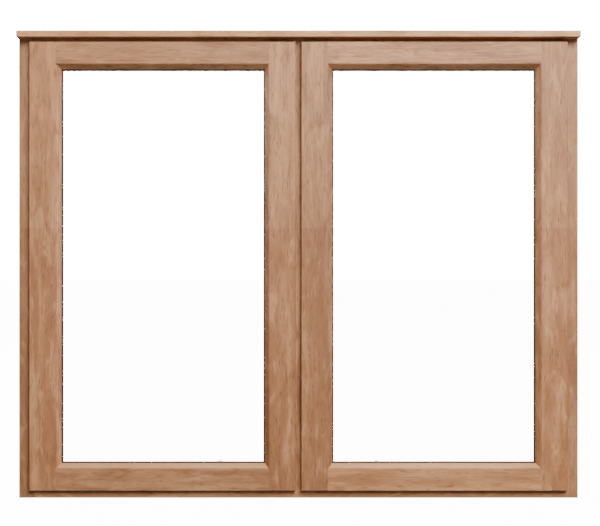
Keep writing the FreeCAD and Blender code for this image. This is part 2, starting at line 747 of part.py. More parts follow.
def build_tape(side, which, y_range):
    """A glazing tape on one face of the pane."""
    body = new_body(f"glazing_tape_{which}_{SIDE_NAMES[side]}", in_set=True)
    clear = named("glass_clearance")
    back = named("tape_setback")
    outer = rectangle(side, FLAT_IN + clear, FLAT_OUT - clear, FLAT_LOW + clear, FLAT_HIGH - clear)
    inner = rectangle(side, SIGHT_IN - back, SIGHT_OUT + back, SIGHT_LOW - back, SIGHT_HIGH + back)
    add_outline(body, "XZ", [outer, inner], *y_range)
    return body


def build_setting_blocks(side):
    """Two blocks that carry the pane on the bottom rail."""
    length = named("block_length")
    width = FLAT_OUT - FLAT_IN
    pieces = []
    for number, centre in enumerate((FLAT_IN + width / 4, FLAT_OUT - width / 4), start=1):
        pieces.append(loose_box(f"setting_block_{SIDE_NAMES[side]}_{number}",
                                span(side, centre - length / 2, centre + length / 2),
                                (GLASS_FRONT, GLASS_BACK),
                                (FLAT_LOW, FLAT_LOW + named("glass_clearance"))))
    return gathered(f"setting_blocks_{SIDE_NAMES[side]}", pieces)


def bead_section(flat, sight, splay_sign):
    """A splayed glazing bead as (distance, y) corners, from its rebate to the daylight."""
    return [(flat, BEAD_FRONT), (sight, BEAD_FRONT),
            (sight + splay_sign * named("bead_splay"), BEAD_BACK), (flat, BEAD_BACK)]


def build_bead(side, which, plane, flat, sight):
    """One mitred glazing bead, upright (plane XY) or level (plane YZ)."""
    body = new_body(f"glazing_bead_{which}_{SIDE_NAMES[side]}", in_set=True)
    sign = 1 if flat.value > sight.value else -1
    section = bead_section(flat, sight, sign)
    if plane == "XY":
        add_outline(body, "XY", [[(side * x, y) for x, y in section]], FLAT_LOW, FLAT_HIGH)
        corners = stile_mitres(side, flat, sight)
    else:
        add_outline(body, "YZ", [[(y, z) for z, y in section]], *span(side, FLAT_IN, FLAT_OUT))
        corners = rail_mitres(side, flat, sight)
    for corner in corners:
        cut_outline(body, "XZ", [corner], BEAD_FRONT, BEAD_BACK)
    return body


def build_sash_pegs(side):
    """The draw pegs that lock one sash's tenons."""
    return gathered(f"sash_pegs_{SIDE_NAMES[side]}", [
        loose_rod(f"sash_peg_{SIDE_NAMES[side]}_{number}", -Y_AXIS, (side * x, SASH_BACK, z),
                  named("peg_diameter"), named("sash_peg_length"))
        for number, (x, z) in enumerate(SASH_PEGS, start=1)])


# ---------------------------------------------------------------- hinges

def knuckle_lengths():
    """The end knuckle's length and the middle knuckle's length of one hinge."""
    third = named("hinge_length") / 3
    return third - named("knuckle_gap") / 2, third - named("knuckle_gap")


def build_frame_leaf(side, which, height):
    """The hinge leaf on the jamb, with the two end knuckles."""
    body = new_body(f"hinge_frame_leaf_{which}_{SIDE_NAMES[side]}", in_set=True)
    half = named("hinge_length") / 2
    end, _ = knuckle_lengths()
    leaf = span(side, JAMB_REBATE, JAMB_REBATE + named("leaf_thick"))
    block(body, "Additive", leaf, (HINGE_Y, LEAF_BACK), (height - half, height + half))
    cut_from = height - half + end
    cut_length = named("hinge_length") - end * 2
    rod(body, "Subtractive", Z_AXIS, (side * HINGE_LINE, HINGE_Y, cut_from),
        named("knuckle_diameter") + named("knuckle_clearance") * 2, cut_length)
    for low in (height - half, height + half - end):
        rod(body, "Additive", Z_AXIS, (side * HINGE_LINE, HINGE_Y, low), named("knuckle_diameter"), end)
    rod(body, "Subtractive", Z_AXIS, (side * HINGE_LINE, HINGE_Y, height - half), named("hinge_pin"),
        named("hinge_length"))
    for step in (-1, 0, 1):
        start = (side * JAMB_REBATE, LEAF_SCREW_Y, height + step * named("hinge_screw_pitch"))
        countersink(body, side * X_AXIS, start)
    doc.recompute()
    return body


def build_sash_leaf(side, which, height):
    """The cranked hinge leaf on the stile, with the middle knuckle."""
    body = new_body(f"hinge_sash_leaf_{which}_{SIDE_NAMES[side]}", in_set=True)
    half = named("hinge_length") / 2
    _, mid = knuckle_lengths()
    web = named("leaf_thick") / 2
    inner = TONGUE_OUT - named("leaf_thick")
    block(body, "Additive", span(side, inner, TONGUE_OUT), (HINGE_Y - web, LEAF_BACK),
          (height - half, height + half))
    block(body, "Additive", span(side, inner, HINGE_LINE), (HINGE_Y - web, HINGE_Y + web),
          (height - mid / 2, height + mid / 2))
    rod(body, "Additive", Z_AXIS, (side * HINGE_LINE, HINGE_Y, height - mid / 2),
        named("knuckle_diameter"), mid)
    rod(body, "Subtractive", Z_AXIS, (side * HINGE_LINE, HINGE_Y, height - mid / 2),
        named("hinge_pin") + named("pin_clearance") * 2, mid)
    for step in (-1, 0, 1):
        start = (side * TONGUE_OUT, LEAF_SCREW_Y, height + step * named("hinge_screw_pitch"))
        countersink(body, -side * X_AXIS, start)
    doc.recompute()
    return body


def build_hinge_pins(side):
    """The pins of both hinges of one sash."""
    half = named("hinge_length") / 2
    return gathered(f"hinge_pins_{SIDE_NAMES[side]}", [
        loose_rod(f"hinge_pin_{which}_{SIDE_NAMES[side]}", Z_AXIS,
                  (side * HINGE_LINE, HINGE_Y, height - half), named("hinge_pin"), named("hinge_length"))
        for which, height in HINGES])


# ---------------------------------------------------------------- latches

LATCH_LINE = MULLION_STOP + named("latch_reach")
LATCH_Z = named("latch_height")
LATCH_PLATE_BACK = SASH_BACK + named("latch_plate_thick")
LATCH_BOSS_BACK = LATCH_PLATE_BACK + named("latch_boss")
LEVER_FRONT = LATCH_BOSS_BACK + named("latch_gap")
LEVER_BACK = LEVER_FRONT + named("lever_thick")
LATCH_CAP_FRONT = LEVER_BACK + named("latch_gap")
LATCH_SCREW_HEIGHTS = (LATCH_Z - named("latch_plate_length") * 0.4,
                       LATCH_Z + named("latch_plate_length") * 0.4)
CATCH_HOOK_BACK = LEVER_FRONT - named("latch_gap")
CATCH_FRONT = CATCH_HOOK_BACK - named("latch_plate_thick")
CATCH_BACK = CATCH_FRONT + named("catch_plate_depth")
CATCH_HOOK_LOW = LATCH_Z - named("catch_hook_lift")
CATCH_LOW = CATCH_HOOK_LOW + named("catch_hook_height") - named("catch_plate_height")
CATCH_SCREW_Y = middle(CATCH_HOOK_BACK, CATCH_BACK)
CATCH_SCREW_HEIGHTS = (CATCH_LOW + named("catch_plate_height") / 5,
                       CATCH_LOW + named("catch_plate_height") * 4 / 5)


def build_catch_plate(side):
    """The hooked plate on the mullion's stop that the latch spur comes up behind."""
    body = new_body(f"catch_plate_{SIDE_NAMES[side]}")
    plate_out = MULLION_STOP + named("catch_plate_thick")
    block(body, "Additive", span(side, MULLION_STOP, plate_out), (CATCH_FRONT, CATCH_BACK),
          (CATCH_LOW, CATCH_LOW + named("catch_plate_height")))
    block(body, "Additive", span(side, MULLION_STOP, plate_out + named("catch_hook_reach")),
          (CATCH_FRONT, CATCH_HOOK_BACK), (CATCH_HOOK_LOW, CATCH_HOOK_LOW + named("catch_hook_height")))
    for height in CATCH_SCREW_HEIGHTS:
        start = (side * plate_out, CATCH_SCREW_Y, height)
        countersink(body, -side * X_AXIS, start)
        rod(body, "Subtractive", -side * X_AXIS, start, named("screw_diameter"), named("catch_plate_thick"))
    doc.recompute()
    return body


def build_latch_base(side):
    """The latch's back plate and boss on the meeting stile."""
    body = new_body(f"latch_base_{SIDE_NAMES[side]}")
    half = named("latch_plate_width") / 2
    block(body, "Additive", span(side, LATCH_LINE - half, LATCH_LINE + half), (SASH_BACK, LATCH_PLATE_BACK),
          (LATCH_Z - named("latch_plate_length") / 2, LATCH_Z + named("latch_plate_length") / 2))
    rod(body, "Additive", Y_AXIS, (side * LATCH_LINE, SASH_BACK, LATCH_Z), named("latch_hub"),
        LATCH_BOSS_BACK - SASH_BACK)
    rod(body, "Subtractive", Y_AXIS, (side * LATCH_LINE, SASH_BACK, LATCH_Z), named("latch_pin"),
        LATCH_BOSS_BACK - SASH_BACK)
    for height in LATCH_SCREW_HEIGHTS:
        start = (side * LATCH_LINE, LATCH_PLATE_BACK, height)
        countersink(body, -Y_AXIS, start)
        rod(body, "Subtractive", -Y_AXIS, start, named("screw_diameter"), named("latch_plate_thick"))
    doc.recompute()
    return body


def build_latch_pivot(side):
    """The capped pin that the lever turns on."""
    name = f"latch_pivot_{SIDE_NAMES[side]}"
    pin = loose_rod(f"{name}_pin", Y_AXIS, (side * LATCH_LINE, SASH_BACK, LATCH_Z), named("latch_pin"),
                    LATCH_CAP_FRONT - SASH_BACK)
    cap = loose_rod(f"{name}_cap", Y_AXIS, (side * LATCH_LINE, LATCH_CAP_FRONT, LATCH_Z),
                    named("latch_cap"), named("latch_cap_thick"))
    whole = fused(name, [pin, cap])
    sub_parts.append(whole)
    return whole


def build_latch_lever(side):
    """The lever: a hub, a spur towards the mullion and a handle that hangs down.

    It is drawn locked and turned to its rest, with the spur clear below the catch.
    """
    body = new_body(f"latch_lever_{SIDE_NAMES[side]}")
    centre = (side * LATCH_LINE, LEVER_FRONT, LATCH_Z)
    width = named("lever_width") / 2
    taper = named("lever_width") * 0.375
    handle_end = LATCH_Z - named("lever_length")
    rod(body, "Additive", Y_AXIS, centre, named("latch_hub"), named("lever_thick"))
    handle = [(side * (LATCH_LINE - width), LATCH_Z), (side * (LATCH_LINE + width), LATCH_Z),
              (side * (LATCH_LINE + taper), handle_end), (side * (LATCH_LINE - taper), handle_end)]
    add_outline(body, "XZ", [handle], LEVER_FRONT, LEVER_BACK)
    block(body, "Additive", span(side, LATCH_LINE - taper, LATCH_LINE + taper),
          (LEVER_FRONT, LEVER_FRONT + named("grip_thick")), (handle_end, handle_end + named("grip_length")))
    spur = named("spur_width") / 2
    block(body, "Additive", span(side, LATCH_LINE - named("spur_length"), LATCH_LINE),
          (LEVER_FRONT, LEVER_BACK), (LATCH_Z - spur, LATCH_Z + spur))
    soften(body, "Fillet", named("lever_thick") / 4,
           [{"z": handle_end, "y": LEVER_FRONT + named("grip_thick")},
            {"z": handle_end + named("grip_length"), "y": LEVER_FRONT + named("grip_thick")}])
    rod(body, "Subtractive", Y_AXIS, centre, named("latch_pin") + named("pin_clearance") * 2,
        named("lever_thick"))
    turn_about(body, side * LATCH_LINE, LATCH_Z, -side * named("latch_rest"))
    doc.recompute()
    return body


def turn_about(body, x, z, angle):
    """Places a body turned about the level axis, along Y, through the point (x, z)."""
    for axis, part in zip("xyz", Y_AXIS):
        bind(body, f"Placement.Rotation.Axis.{axis}", int(part))
    bind(body, "Placement.Rotation.Angle", angle)
    cos = f"cos({angle.formula} * 1 deg)"
    sin = f"sin({angle.formula} * 1 deg)"
    shift_x = f"{x.formula} - {x.formula} * {cos} - {z.formula} * {sin}"
    shift_z = f"{z.formula} + {x.formula} * {sin} - {z.formula} * {cos}"
    body.setExpression("Placement.Base.x", shift_x)
    body.setExpression("Placement.Base.z", shift_z)


# ---------------------------------------------------------------- peg stays

STAY_LINE_Y = SASH_BACK + named("stay_line")
STAY_SWIVEL_X = LIP_OUT - named("stay_offset")
STAY_JOINT_X = STAY_SWIVEL_X - named("stay_joint_reach")
STAY_SEAT_Z = SILL_STOP + named("stay_seat")
STAY_JOINT_Z = STAY_SEAT_Z + named("stay_joint_rise")
STAY_PEG_LINES = (STAY_JOINT_X - named("stay_peg_first"),
                  STAY_JOINT_X - named("stay_peg_first") - named("stay_peg_pitch"))
BARREL_TOP = STAY_SEAT_Z + named("stay_joint_rise") * 2.8
BRACKET_TONGUE_LOW = BARREL_TOP + named("stay_play")
BRACKET_TONGUE_HIGH = BRACKET_TONGUE_LOW + named("bracket_tongue_thick")
BRACKET_LOW = STAY_SEAT_Z + named("stay_joint_rise")
BRACKET_HIGH = BRACKET_LOW + named("bracket_plate_height")
BRACKET_BACK = SASH_BACK + named("bracket_plate_thick")
BRACKET_SCREW_LINES = (STAY_SWIVEL_X - named("bracket_plate_width") / 3,
                       STAY_SWIVEL_X + named("bracket_plate_width") / 3)
BRACKET_SCREW_Z = middle(BRACKET_LOW, BRACKET_HIGH)


def build_stay_pegs(side):
    """The two pegs on the sill's stop, each with a square foot and a shank in the wood."""
    pieces = []
    half = named("stay_peg_plate_length") / 2
    for number, distance in enumerate(STAY_PEG_LINES, start=1):
        name = f"stay_peg_{SIDE_NAMES[side]}_{number}"
        foot_top = SILL_STOP + named("stay_peg_plate")
        foot = loose_box(f"{name}_foot", span(side, distance - half, distance + half),
                         (STAY_LINE_Y - half, STAY_LINE_Y + half), (SILL_STOP, foot_top))
        shank = loose_rod(f"{name}_shank", Z_AXIS,
                          (side * distance, STAY_LINE_Y, SILL_STOP - named("stay_peg_shank")),
                          named("stay_peg"),
                          named("stay_peg_shank") + named("stay_peg_plate") + named("stay_peg_height"))
        pieces.append(fused(name, [foot, shank]))
    return gathered(f"stay_pegs_{SIDE_NAMES[side]}", pieces)


def build_stay_bracket(side):
    """The plate on the bottom rail, with a level tongue that holds the swivel pin."""
    body = new_body(f"stay_bracket_{SIDE_NAMES[side]}")
    half_plate = named("bracket_plate_width") / 2
    half_tongue = named("bracket_tongue_width") / 2
    tongue = (BRACKET_TONGUE_LOW, BRACKET_TONGUE_HIGH)
    block(body, "Additive", span(side, STAY_SWIVEL_X - half_plate, STAY_SWIVEL_X + half_plate),
          (SASH_BACK, BRACKET_BACK), (BRACKET_LOW, BRACKET_HIGH))
    block(body, "Additive", span(side, STAY_SWIVEL_X - half_tongue, STAY_SWIVEL_X + half_tongue),
          (SASH_BACK, STAY_LINE_Y), tongue)
    swivel = (side * STAY_SWIVEL_X, STAY_LINE_Y, BRACKET_TONGUE_LOW)
    rod(body, "Additive", Z_AXIS, swivel, named("bracket_tongue_width"), named("bracket_tongue_thick"))
    rod(body, "Subtractive", Z_AXIS, swivel, named("stay_swivel"), named("bracket_tongue_thick"))
    for x in BRACKET_SCREW_LINES:
        start = (side * x, BRACKET_BACK, BRACKET_SCREW_Z)
        countersink(body, -Y_AXIS, start)
        rod(body, "Subtractive", -Y_AXIS, start, named("screw_diameter"), named("bracket_plate_thick"))
    doc.recompute()
    return body


def build_stay_swivel_pin(side):
    """The headed pin that hangs the knuckle under the bracket."""
    name = f"stay_swivel_pin_{SIDE_NAMES[side]}"
    foot_thick = named("stay_play") * 3
    low = STAY_SEAT_Z - named("stay_play") - foot_thick
    head_diameter = named("stay_swivel") * 1.6
    shank = loose_rod(f"{name}_shank", Z_AXIS, (side * STAY_SWIVEL_X, STAY_LINE_Y, low),
                      named("stay_swivel"), BRACKET_TONGUE_HIGH - low)
    foot = loose_rod(f"{name}_foot", Z_AXIS, (side * STAY_SWIVEL_X, STAY_LINE_Y, low),
                     head_diameter, foot_thick)
    head = loose_rod(f"{name}_head", Z_AXIS, (side * STAY_SWIVEL_X, STAY_LINE_Y, BRACKET_TONGUE_HIGH),
                     head_diameter, named("latch_cap_thick"))
    whole = fused(name, [shank, foot, head])
    sub_parts.append(whole)
    return whole


def build_stay_knuckle(side):
    """The swivel knuckle: a barrel on the upright pin and a tongue for the arm's fork."""
    body = new_body(f"stay_knuckle_{SIDE_NAMES[side]}")
    rise = named("stay_joint_rise")
    half = named("stay_tongue") / 2
    rod(body, "Additive", Z_AXIS, (side * STAY_SWIVEL_X, STAY_LINE_Y, STAY_SEAT_Z), named("stay_barrel"),
        BARREL_TOP - STAY_SEAT_Z)
    block(body, "Additive", span(side, STAY_JOINT_X, STAY_SWIVEL_X), (STAY_LINE_Y - half, STAY_LINE_Y + half),
          (STAY_JOINT_Z - rise, STAY_JOINT_Z + rise))
    joint = (side * STAY_JOINT_X, STAY_LINE_Y - half, STAY_JOINT_Z)
    rod(body, "Additive", Y_AXIS, joint, rise * 2, named("stay_tongue"))
    rod(body, "Subtractive", Y_AXIS, joint, named("stay_joint_pin") + named("pin_clearance") * 2,
        named("stay_tongue"))
    rod(body, "Subtractive", Z_AXIS, (side * STAY_SWIVEL_X, STAY_LINE_Y, STAY_SEAT_Z),
        named("stay_swivel") + named("pin_clearance") * 2, BARREL_TOP - STAY_SEAT_Z)
    doc.recompute()
    return body


def build_stay_arm(side):
    """The stay arm: a fork at the knuckle and a flat bar with two peg holes.

    It is drawn seated on its pegs and turned up to its rest, just clear of them.
    """
    body = new_body(f"stay_arm_{SIDE_NAMES[side]}")
    rise = named("stay_joint_rise")
    half = named("stay_arm_width") / 2
    across = (STAY_LINE_Y - half, STAY_LINE_Y + half)
    fork_root = STAY_JOINT_X - rise * 3
    block(body, "Additive", span(side, fork_root, STAY_JOINT_X), across,
          (STAY_JOINT_Z - rise, STAY_JOINT_Z + rise))
    rod(body, "Additive", Y_AXIS, (side * STAY_JOINT_X, across[0], STAY_JOINT_Z), rise * 2,
        named("stay_arm_width"))
    arm_end = STAY_JOINT_X - named("stay_arm_length")
    block(body, "Additive", span(side, arm_end, fork_root), across,
          (STAY_SEAT_Z, STAY_SEAT_Z + named("stay_arm_thick")))
    slot = named("stay_tongue") / 2 + named("stay_play")
    block(body, "Subtractive", span(side, STAY_JOINT_X - rise * 1.5, STAY_JOINT_X + rise),
          (STAY_LINE_Y - slot, STAY_LINE_Y + slot), (STAY_JOINT_Z - rise, STAY_JOINT_Z + rise))
    rod(body, "Subtractive", Y_AXIS, (side * STAY_JOINT_X, across[0], STAY_JOINT_Z),
        named("stay_joint_pin"), named("stay_arm_width"))
    for distance in STAY_PEG_LINES:
        rod(body, "Subtractive", Z_AXIS, (side * distance, STAY_LINE_Y, STAY_SEAT_Z),
            named("stay_peg") + named("stay_peg_play") * 2, named("stay_arm_thick"))
    soften(body, "Fillet", half * 0.8,
           [{"x": side * arm_end, "y": across[0]}, {"x": side * arm_end, "y": across[1]}])
    turn_about(body, side * STAY_JOINT_X, STAY_JOINT_Z, side * named("stay_rest"))
    doc.recompute()
    return body


def build_stay_lift_pin(side):
    """The level pin through the fork and the knuckle's tongue."""
    half = named("stay_arm_width") / 2
    name = f"stay_lift_pin_{SIDE_NAMES[side]}"
    pin = loose_rod(name, Y_AXIS, (side * STAY_JOINT_X, STAY_LINE_Y - half, STAY_JOINT_Z),
                    named("stay_joint_pin"), named("stay_arm_width"))
    sub_parts.append(pin)
    return pin


# ---------------------------------------------------------------- screws

def hinge_screws(side, line, direction, which):
    """Screws of both hinges of one sash, on the frame's or the sash's side."""
    pieces = []
    for hinge, height in HINGES:
        for number, step in enumerate((-1, 0, 1), start=1):
            start = (side * line, LEAF_SCREW_Y, height + step * named("hinge_screw_pitch"))
            name = f"{which}_screw_{SIDE_NAMES[side]}_{hinge}_{number}"
            pieces.append(screw(name, direction, start))
    return pieces


def build_frame_screws():
    """Screws of the hinge leaves on the jambs and of the catch plates on the mullion."""
    pieces = []
    for side in (LEFT, RIGHT):
        pieces += hinge_screws(side, JAMB_REBATE, side * X_AXIS, "jamb")
        for number, height in enumerate(CATCH_SCREW_HEIGHTS, start=1):
            start = (side * (MULLION_STOP + named("catch_plate_thick")), CATCH_SCREW_Y, height)
            pieces.append(screw(f"catch_screw_{SIDE_NAMES[side]}_{number}", -side * X_AXIS, start))
    return gathered("frame_screws", pieces)


def build_sash_screws(side):
    """Screws of the hinge leaves, the latch and the stay bracket on one sash."""
    pieces = hinge_screws(side, TONGUE_OUT, -side * X_AXIS, "stile")
    for number, height in enumerate(LATCH_SCREW_HEIGHTS, start=1):
        start = (side * LATCH_LINE, LATCH_PLATE_BACK, height)
        pieces.append(screw(f"latch_screw_{SIDE_NAMES[side]}_{number}", -Y_AXIS, start))
    for number, x in enumerate(BRACKET_SCREW_LINES, start=1):
        start = (side * x, BRACKET_BACK, BRACKET_SCREW_Z)
        pieces.append(screw(f"bracket_screw_{SIDE_NAMES[side]}_{number}", -Y_AXIS, start))
    return gathered(f"sash_screws_{SIDE_NAMES[side]}", pieces)


# ---------------------------------------------------------------- the window

def build_frame():
    """Builds everything that stays fixed."""
    build_sill()
    build_head()
    build_mullion()
    build_drip_mould()
    build_frame_pegs()
    build_frame_screws()
    for side in (LEFT, RIGHT):
        build_jamb(side)
        build_weather_seal(side)
        build_catch_plate(side)
        build_stay_pegs(side)
        build_hinge_pins(side)
        gathered(f"hinge_frame_leaves_{SIDE_NAMES[side]}",
                 [build_frame_leaf(side, *hinge) for hinge in HINGES])


def build_sash(side):
    """Builds one sash with its glazing and its hardware."""
    build_hinge_stile(side)
    build_meeting_stile(side)
    build_rail(side, "top", LIP_HIGH, TONGUE_HIGH, FLAT_HIGH, SIGHT_HIGH, TOP_TENON)
    build_rail(side, "bottom", LIP_LOW, TONGUE_LOW, FLAT_LOW, SIGHT_LOW, BOTTOM_TENON)
    build_glass(side)
    gathered(f"glazing_tapes_{SIDE_NAMES[side]}", [
        build_tape(side, "outer", (GLASS_SEAT, GLASS_FRONT)),
        build_tape(side, "inner", (GLASS_BACK, BEAD_FRONT))])
    build_setting_blocks(side)
    gathered(f"rail_beads_{SIDE_NAMES[side]}", [
        build_bead(side, "top", "YZ", FLAT_HIGH, SIGHT_HIGH),
        build_bead(side, "bottom", "YZ", FLAT_LOW, SIGHT_LOW)])
    gathered(f"stile_beads_{SIDE_NAMES[side]}", [
        build_bead(side, "hinge_side", "XY", FLAT_OUT, SIGHT_OUT),
        build_bead(side, "meeting_side", "XY", FLAT_IN, SIGHT_IN)])
    build_sash_pegs(side)
    gathered(f"hinge_sash_leaves_{SIDE_NAMES[side]}",
             [build_sash_leaf(side, *hinge) for hinge in HINGES])
    build_latch_base(side)
    build_latch_pivot(side)
    build_latch_lever(side)
    build_stay_bracket(side)
    build_stay_swivel_pin(side)
    build_stay_knuckle(side)
    build_stay_arm(side)
    build_stay_lift_pin(side)
    build_sash_screws(side)


def check_and_write():
    """Checks every object of the document, then writes one file for each sub-part."""
    doc.recompute()
    for obj in doc.Objects:
        if "Invalid" in obj.State or "Error" in obj.State:
            raise RuntimeError(f"{obj.Label} did not rebuild: {obj.State}")
    for part in sub_parts:
        if part.Shape.isNull() or not part.Shape.isValid() or not part.Shape.Solids:
            raise RuntimeError(f"{part.Label} has no valid solid")
    os.makedirs("parts", exist_ok=True)
    for part in sub_parts:
        part.Shape.exportStep(f"parts/{part.Label}.step")
    print(f"{len(sub_parts)} sub-parts written")


build_frame()
for light in (LEFT, RIGHT):
    build_sash(light)
check_and_write()
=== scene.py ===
"""Looks of a double hardwood casement window with lipped sashes, clear panes and steel fittings."""

import logging
import math
from dataclasses import dataclass, field
from enum import Enum
from typing import Callable, Iterable, Sequence

import bpy
import bmesh
from mathutils import Matrix, Vector


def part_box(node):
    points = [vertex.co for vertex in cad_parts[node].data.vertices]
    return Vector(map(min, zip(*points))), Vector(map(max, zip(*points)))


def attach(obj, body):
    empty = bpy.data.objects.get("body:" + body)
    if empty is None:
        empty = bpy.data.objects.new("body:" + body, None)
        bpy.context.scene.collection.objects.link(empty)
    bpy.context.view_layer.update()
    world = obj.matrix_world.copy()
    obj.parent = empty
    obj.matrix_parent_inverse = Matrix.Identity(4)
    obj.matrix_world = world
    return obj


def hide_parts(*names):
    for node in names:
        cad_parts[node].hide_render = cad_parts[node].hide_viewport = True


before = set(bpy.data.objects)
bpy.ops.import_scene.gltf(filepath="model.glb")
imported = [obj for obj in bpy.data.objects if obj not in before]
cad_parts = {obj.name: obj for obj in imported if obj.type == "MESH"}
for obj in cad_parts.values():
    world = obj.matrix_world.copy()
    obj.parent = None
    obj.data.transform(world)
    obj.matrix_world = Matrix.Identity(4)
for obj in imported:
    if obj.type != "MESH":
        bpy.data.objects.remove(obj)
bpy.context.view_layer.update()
LOG = logging.getLogger("casement")
MM = 0.001
QUARTER = math.radians(90)
SQUARE_ON = 0.95

Point = tuple[float, float, float]
Colour = tuple[float, float, float]


class Side(Enum):
    """The two lights of the window, seen from outside."""

    LEFT = "left"
    RIGHT = "right"

    @property
    def sign(self) -> int:
        """Gives -1 for the left light and 1 for the right one."""
        return -1 if self is Side.LEFT else 1


class Grain(Enum):
    """The way the grain runs in a piece of timber."""

    UPRIGHT = "upright"
    LEVEL = "level"
    ACROSS = "across"

    @property
    def turn(self) -> Point:
        """Gives the turn, in radians, that lays an upright grain this way."""
        return {Grain.UPRIGHT: (0.0, 0.0, 0.0), Grain.LEVEL: (0.0, QUARTER, 0.0),
                Grain.ACROSS: (QUARTER, 0.0, 0.0)}[self]

    @property
    def axis(self) -> int:
        """Gives the index of the axis the grain runs along."""
        return {Grain.LEVEL: 0, Grain.ACROSS: 1, Grain.UPRIGHT: 2}[self]


# ------------------------------------------------------------------ node graphs

class Graph:
    """A thin hand on one material's node tree."""

    def __init__(self, name: str) -> None:
        """Starts a material with an empty tree.

        Args:
            name: The material's name.
        """
        self.material = bpy.data.materials.new(name)
        self.material.use_nodes = True
        self.tree = self.material.node_tree
        self.tree.nodes.clear()
        self.output = self.tree.nodes.new("ShaderNodeOutputMaterial")

    def node(self, kind: str, **settings: object) -> bpy.types.Node:
        """Adds a node and sets its properties.

        Args:
            kind: The node type without its ShaderNode prefix.
            **settings: Property names and their values.

        Returns:
            The new node.
        """
        made = self.tree.nodes.new(f"ShaderNode{kind}")
        for key, value in settings.items():
            setattr(made, key, value)
        return made

    def feed(self, target: bpy.types.NodeSocket, value: object) -> None:
        """Links a socket to a target, or sets the target's own value.

        Args:
            target: The input socket.
            value: An output socket, or a plain value.
        """
        if isinstance(value, bpy.types.NodeSocket):
            self.tree.links.new(value, target)
        else:
            target.default_value = value

    def maths(self, operation: str, *values: object, clamp: bool = False) -> bpy.types.NodeSocket:
        """Adds a Math node.

        Args:
            operation: The node's operation.
            *values: Its inputs, sockets or numbers.
            clamp: Whether the result is held between 0 and 1.

        Returns:
            The result socket.
        """
        made = self.node("Math", operation=operation, use_clamp=clamp)
        for target, value in zip(made.inputs, values):
            self.feed(target, value)
        return made.outputs[0]

    def ramp(self, value: bpy.types.NodeSocket, low: float, high: float,
             to_low: float = 0.0, to_high: float = 1.0) -> bpy.types.NodeSocket:
        """Maps a value smoothly from one range to another.

        Args:
            value: The socket to map.
            low: Where the ramp starts.
            high: Where the ramp ends.
            to_low: The result at the start.
            to_high: The result at the end.

        Returns:
            The result socket.
        """
        made = self.node("MapRange", interpolation_type="SMOOTHSTEP")
        for name, number in (("From Min", low), ("From Max", high),
                             ("To Min", to_low), ("To Max", to_high)):
            made.inputs[name].default_value = number
        self.feed(made.inputs["Value"], value)
        return made.outputs["Result"]

    def mix(self, amount: object, first: object, second: object,
            blend: str = "MIX") -> bpy.types.NodeSocket:
        """Mixes two colours.

        Args:
            amount: How much of the second colour, a socket or a number.
            first: The first colour, a socket or a triple.
            second: The second colour, a socket or a triple.
            blend: The blend type.

        Returns:
            The mixed colour socket.
        """
        made = self.node("Mix", data_type="RGBA", blend_type=blend)
        self.feed(made.inputs[0], amount)
        for index, colour in ((6, first), (7, second)):
            value = colour if isinstance(colour, bpy.types.NodeSocket) else (*colour, 1.0)
            self.feed(made.inputs[index], value)
        return made.outputs[2]

    def place(self, shift: Point = (0.0, 0.0, 0.0), turn: Point = (0.0, 0.0, 0.0),
              scale: Point = (1.0, 1.0, 1.0),
              source: bpy.types.NodeSocket | None = None) -> bpy.types.NodeSocket:
        """Gives the piece's own coordinates, shifted, turned and scaled.

        Args:
            shift: The shift in metres.
            turn: The turn in radians.
            scale: The scale along each axis.
            source: The coordinates to start from; the piece's Object ones if left out.

        Returns:
            The mapped vector socket.
        """
        if source is None:
            source = self.node("TexCoord").outputs["Object"]
        made = self.node("Mapping")
        self.feed(made.inputs["Vector"], source)
        made.inputs["Location"].default_value = shift
        made.inputs["Rotation"].default_value = turn
        made.inputs["Scale"].default_value = scale
        return made.outputs[0]

    def noise(self, vector: bpy.types.NodeSocket, scale: float, detail: float = 2.0,
              roughness: float = 0.5, distortion: float = 0.0) -> bpy.types.NodeSocket:
        """Adds a noise texture.

        Args:
            vector: Its coordinates.
            scale: Its scale.
            detail: Its detail.
            roughness: Its roughness.
            distortion: Its distortion.

        Returns:
            The noise value socket.
        """
        made = self.node("TexNoise")
        self.feed(made.inputs["Vector"], vector)
        for name, number in (("Scale", scale), ("Detail", detail), ("Roughness", roughness),
                             ("Distortion", distortion)):
            made.inputs[name].default_value = number
        return made.outputs[0]

    def bump(self, height: bpy.types.NodeSocket, strength: float, distance: float,
             normal: bpy.types.NodeSocket | None = None) -> bpy.types.NodeSocket:
        """Adds a bump node.

        Args:
            height: The height socket.
            strength: The bump's strength.
            distance: The bump's height in metres.
            normal: A normal to build on.

        Returns:
            The bumped normal socket.
        """
        made = self.node("Bump")
        made.inputs["Strength"].default_value = strength
        made.inputs["Distance"].default_value = distance
        self.feed(made.inputs["Height"], height)
        if normal is not None:
            self.feed(made.inputs["Normal"], normal)
        return made.outputs[0]

    def finish(self, **sockets: object) -> bpy.types.Material:
        """Closes the tree with a Principled shader.

        Args:
            **sockets: Shader inputs by name, with underscores for spaces.

        Returns:
            The finished material.
        """
        shader = self.node("BsdfPrincipled")
        for key, value in sockets.items():
            if isinstance(value, tuple) and len(value) == 3:
                value = (*value, 1.0)
            self.feed(shader.inputs[key.replace("_", " ")], value)
        self.tree.links.new(shader.outputs[0], self.output.inputs[0])
        return self.material


# ------------------------------------------------------------------ finishes

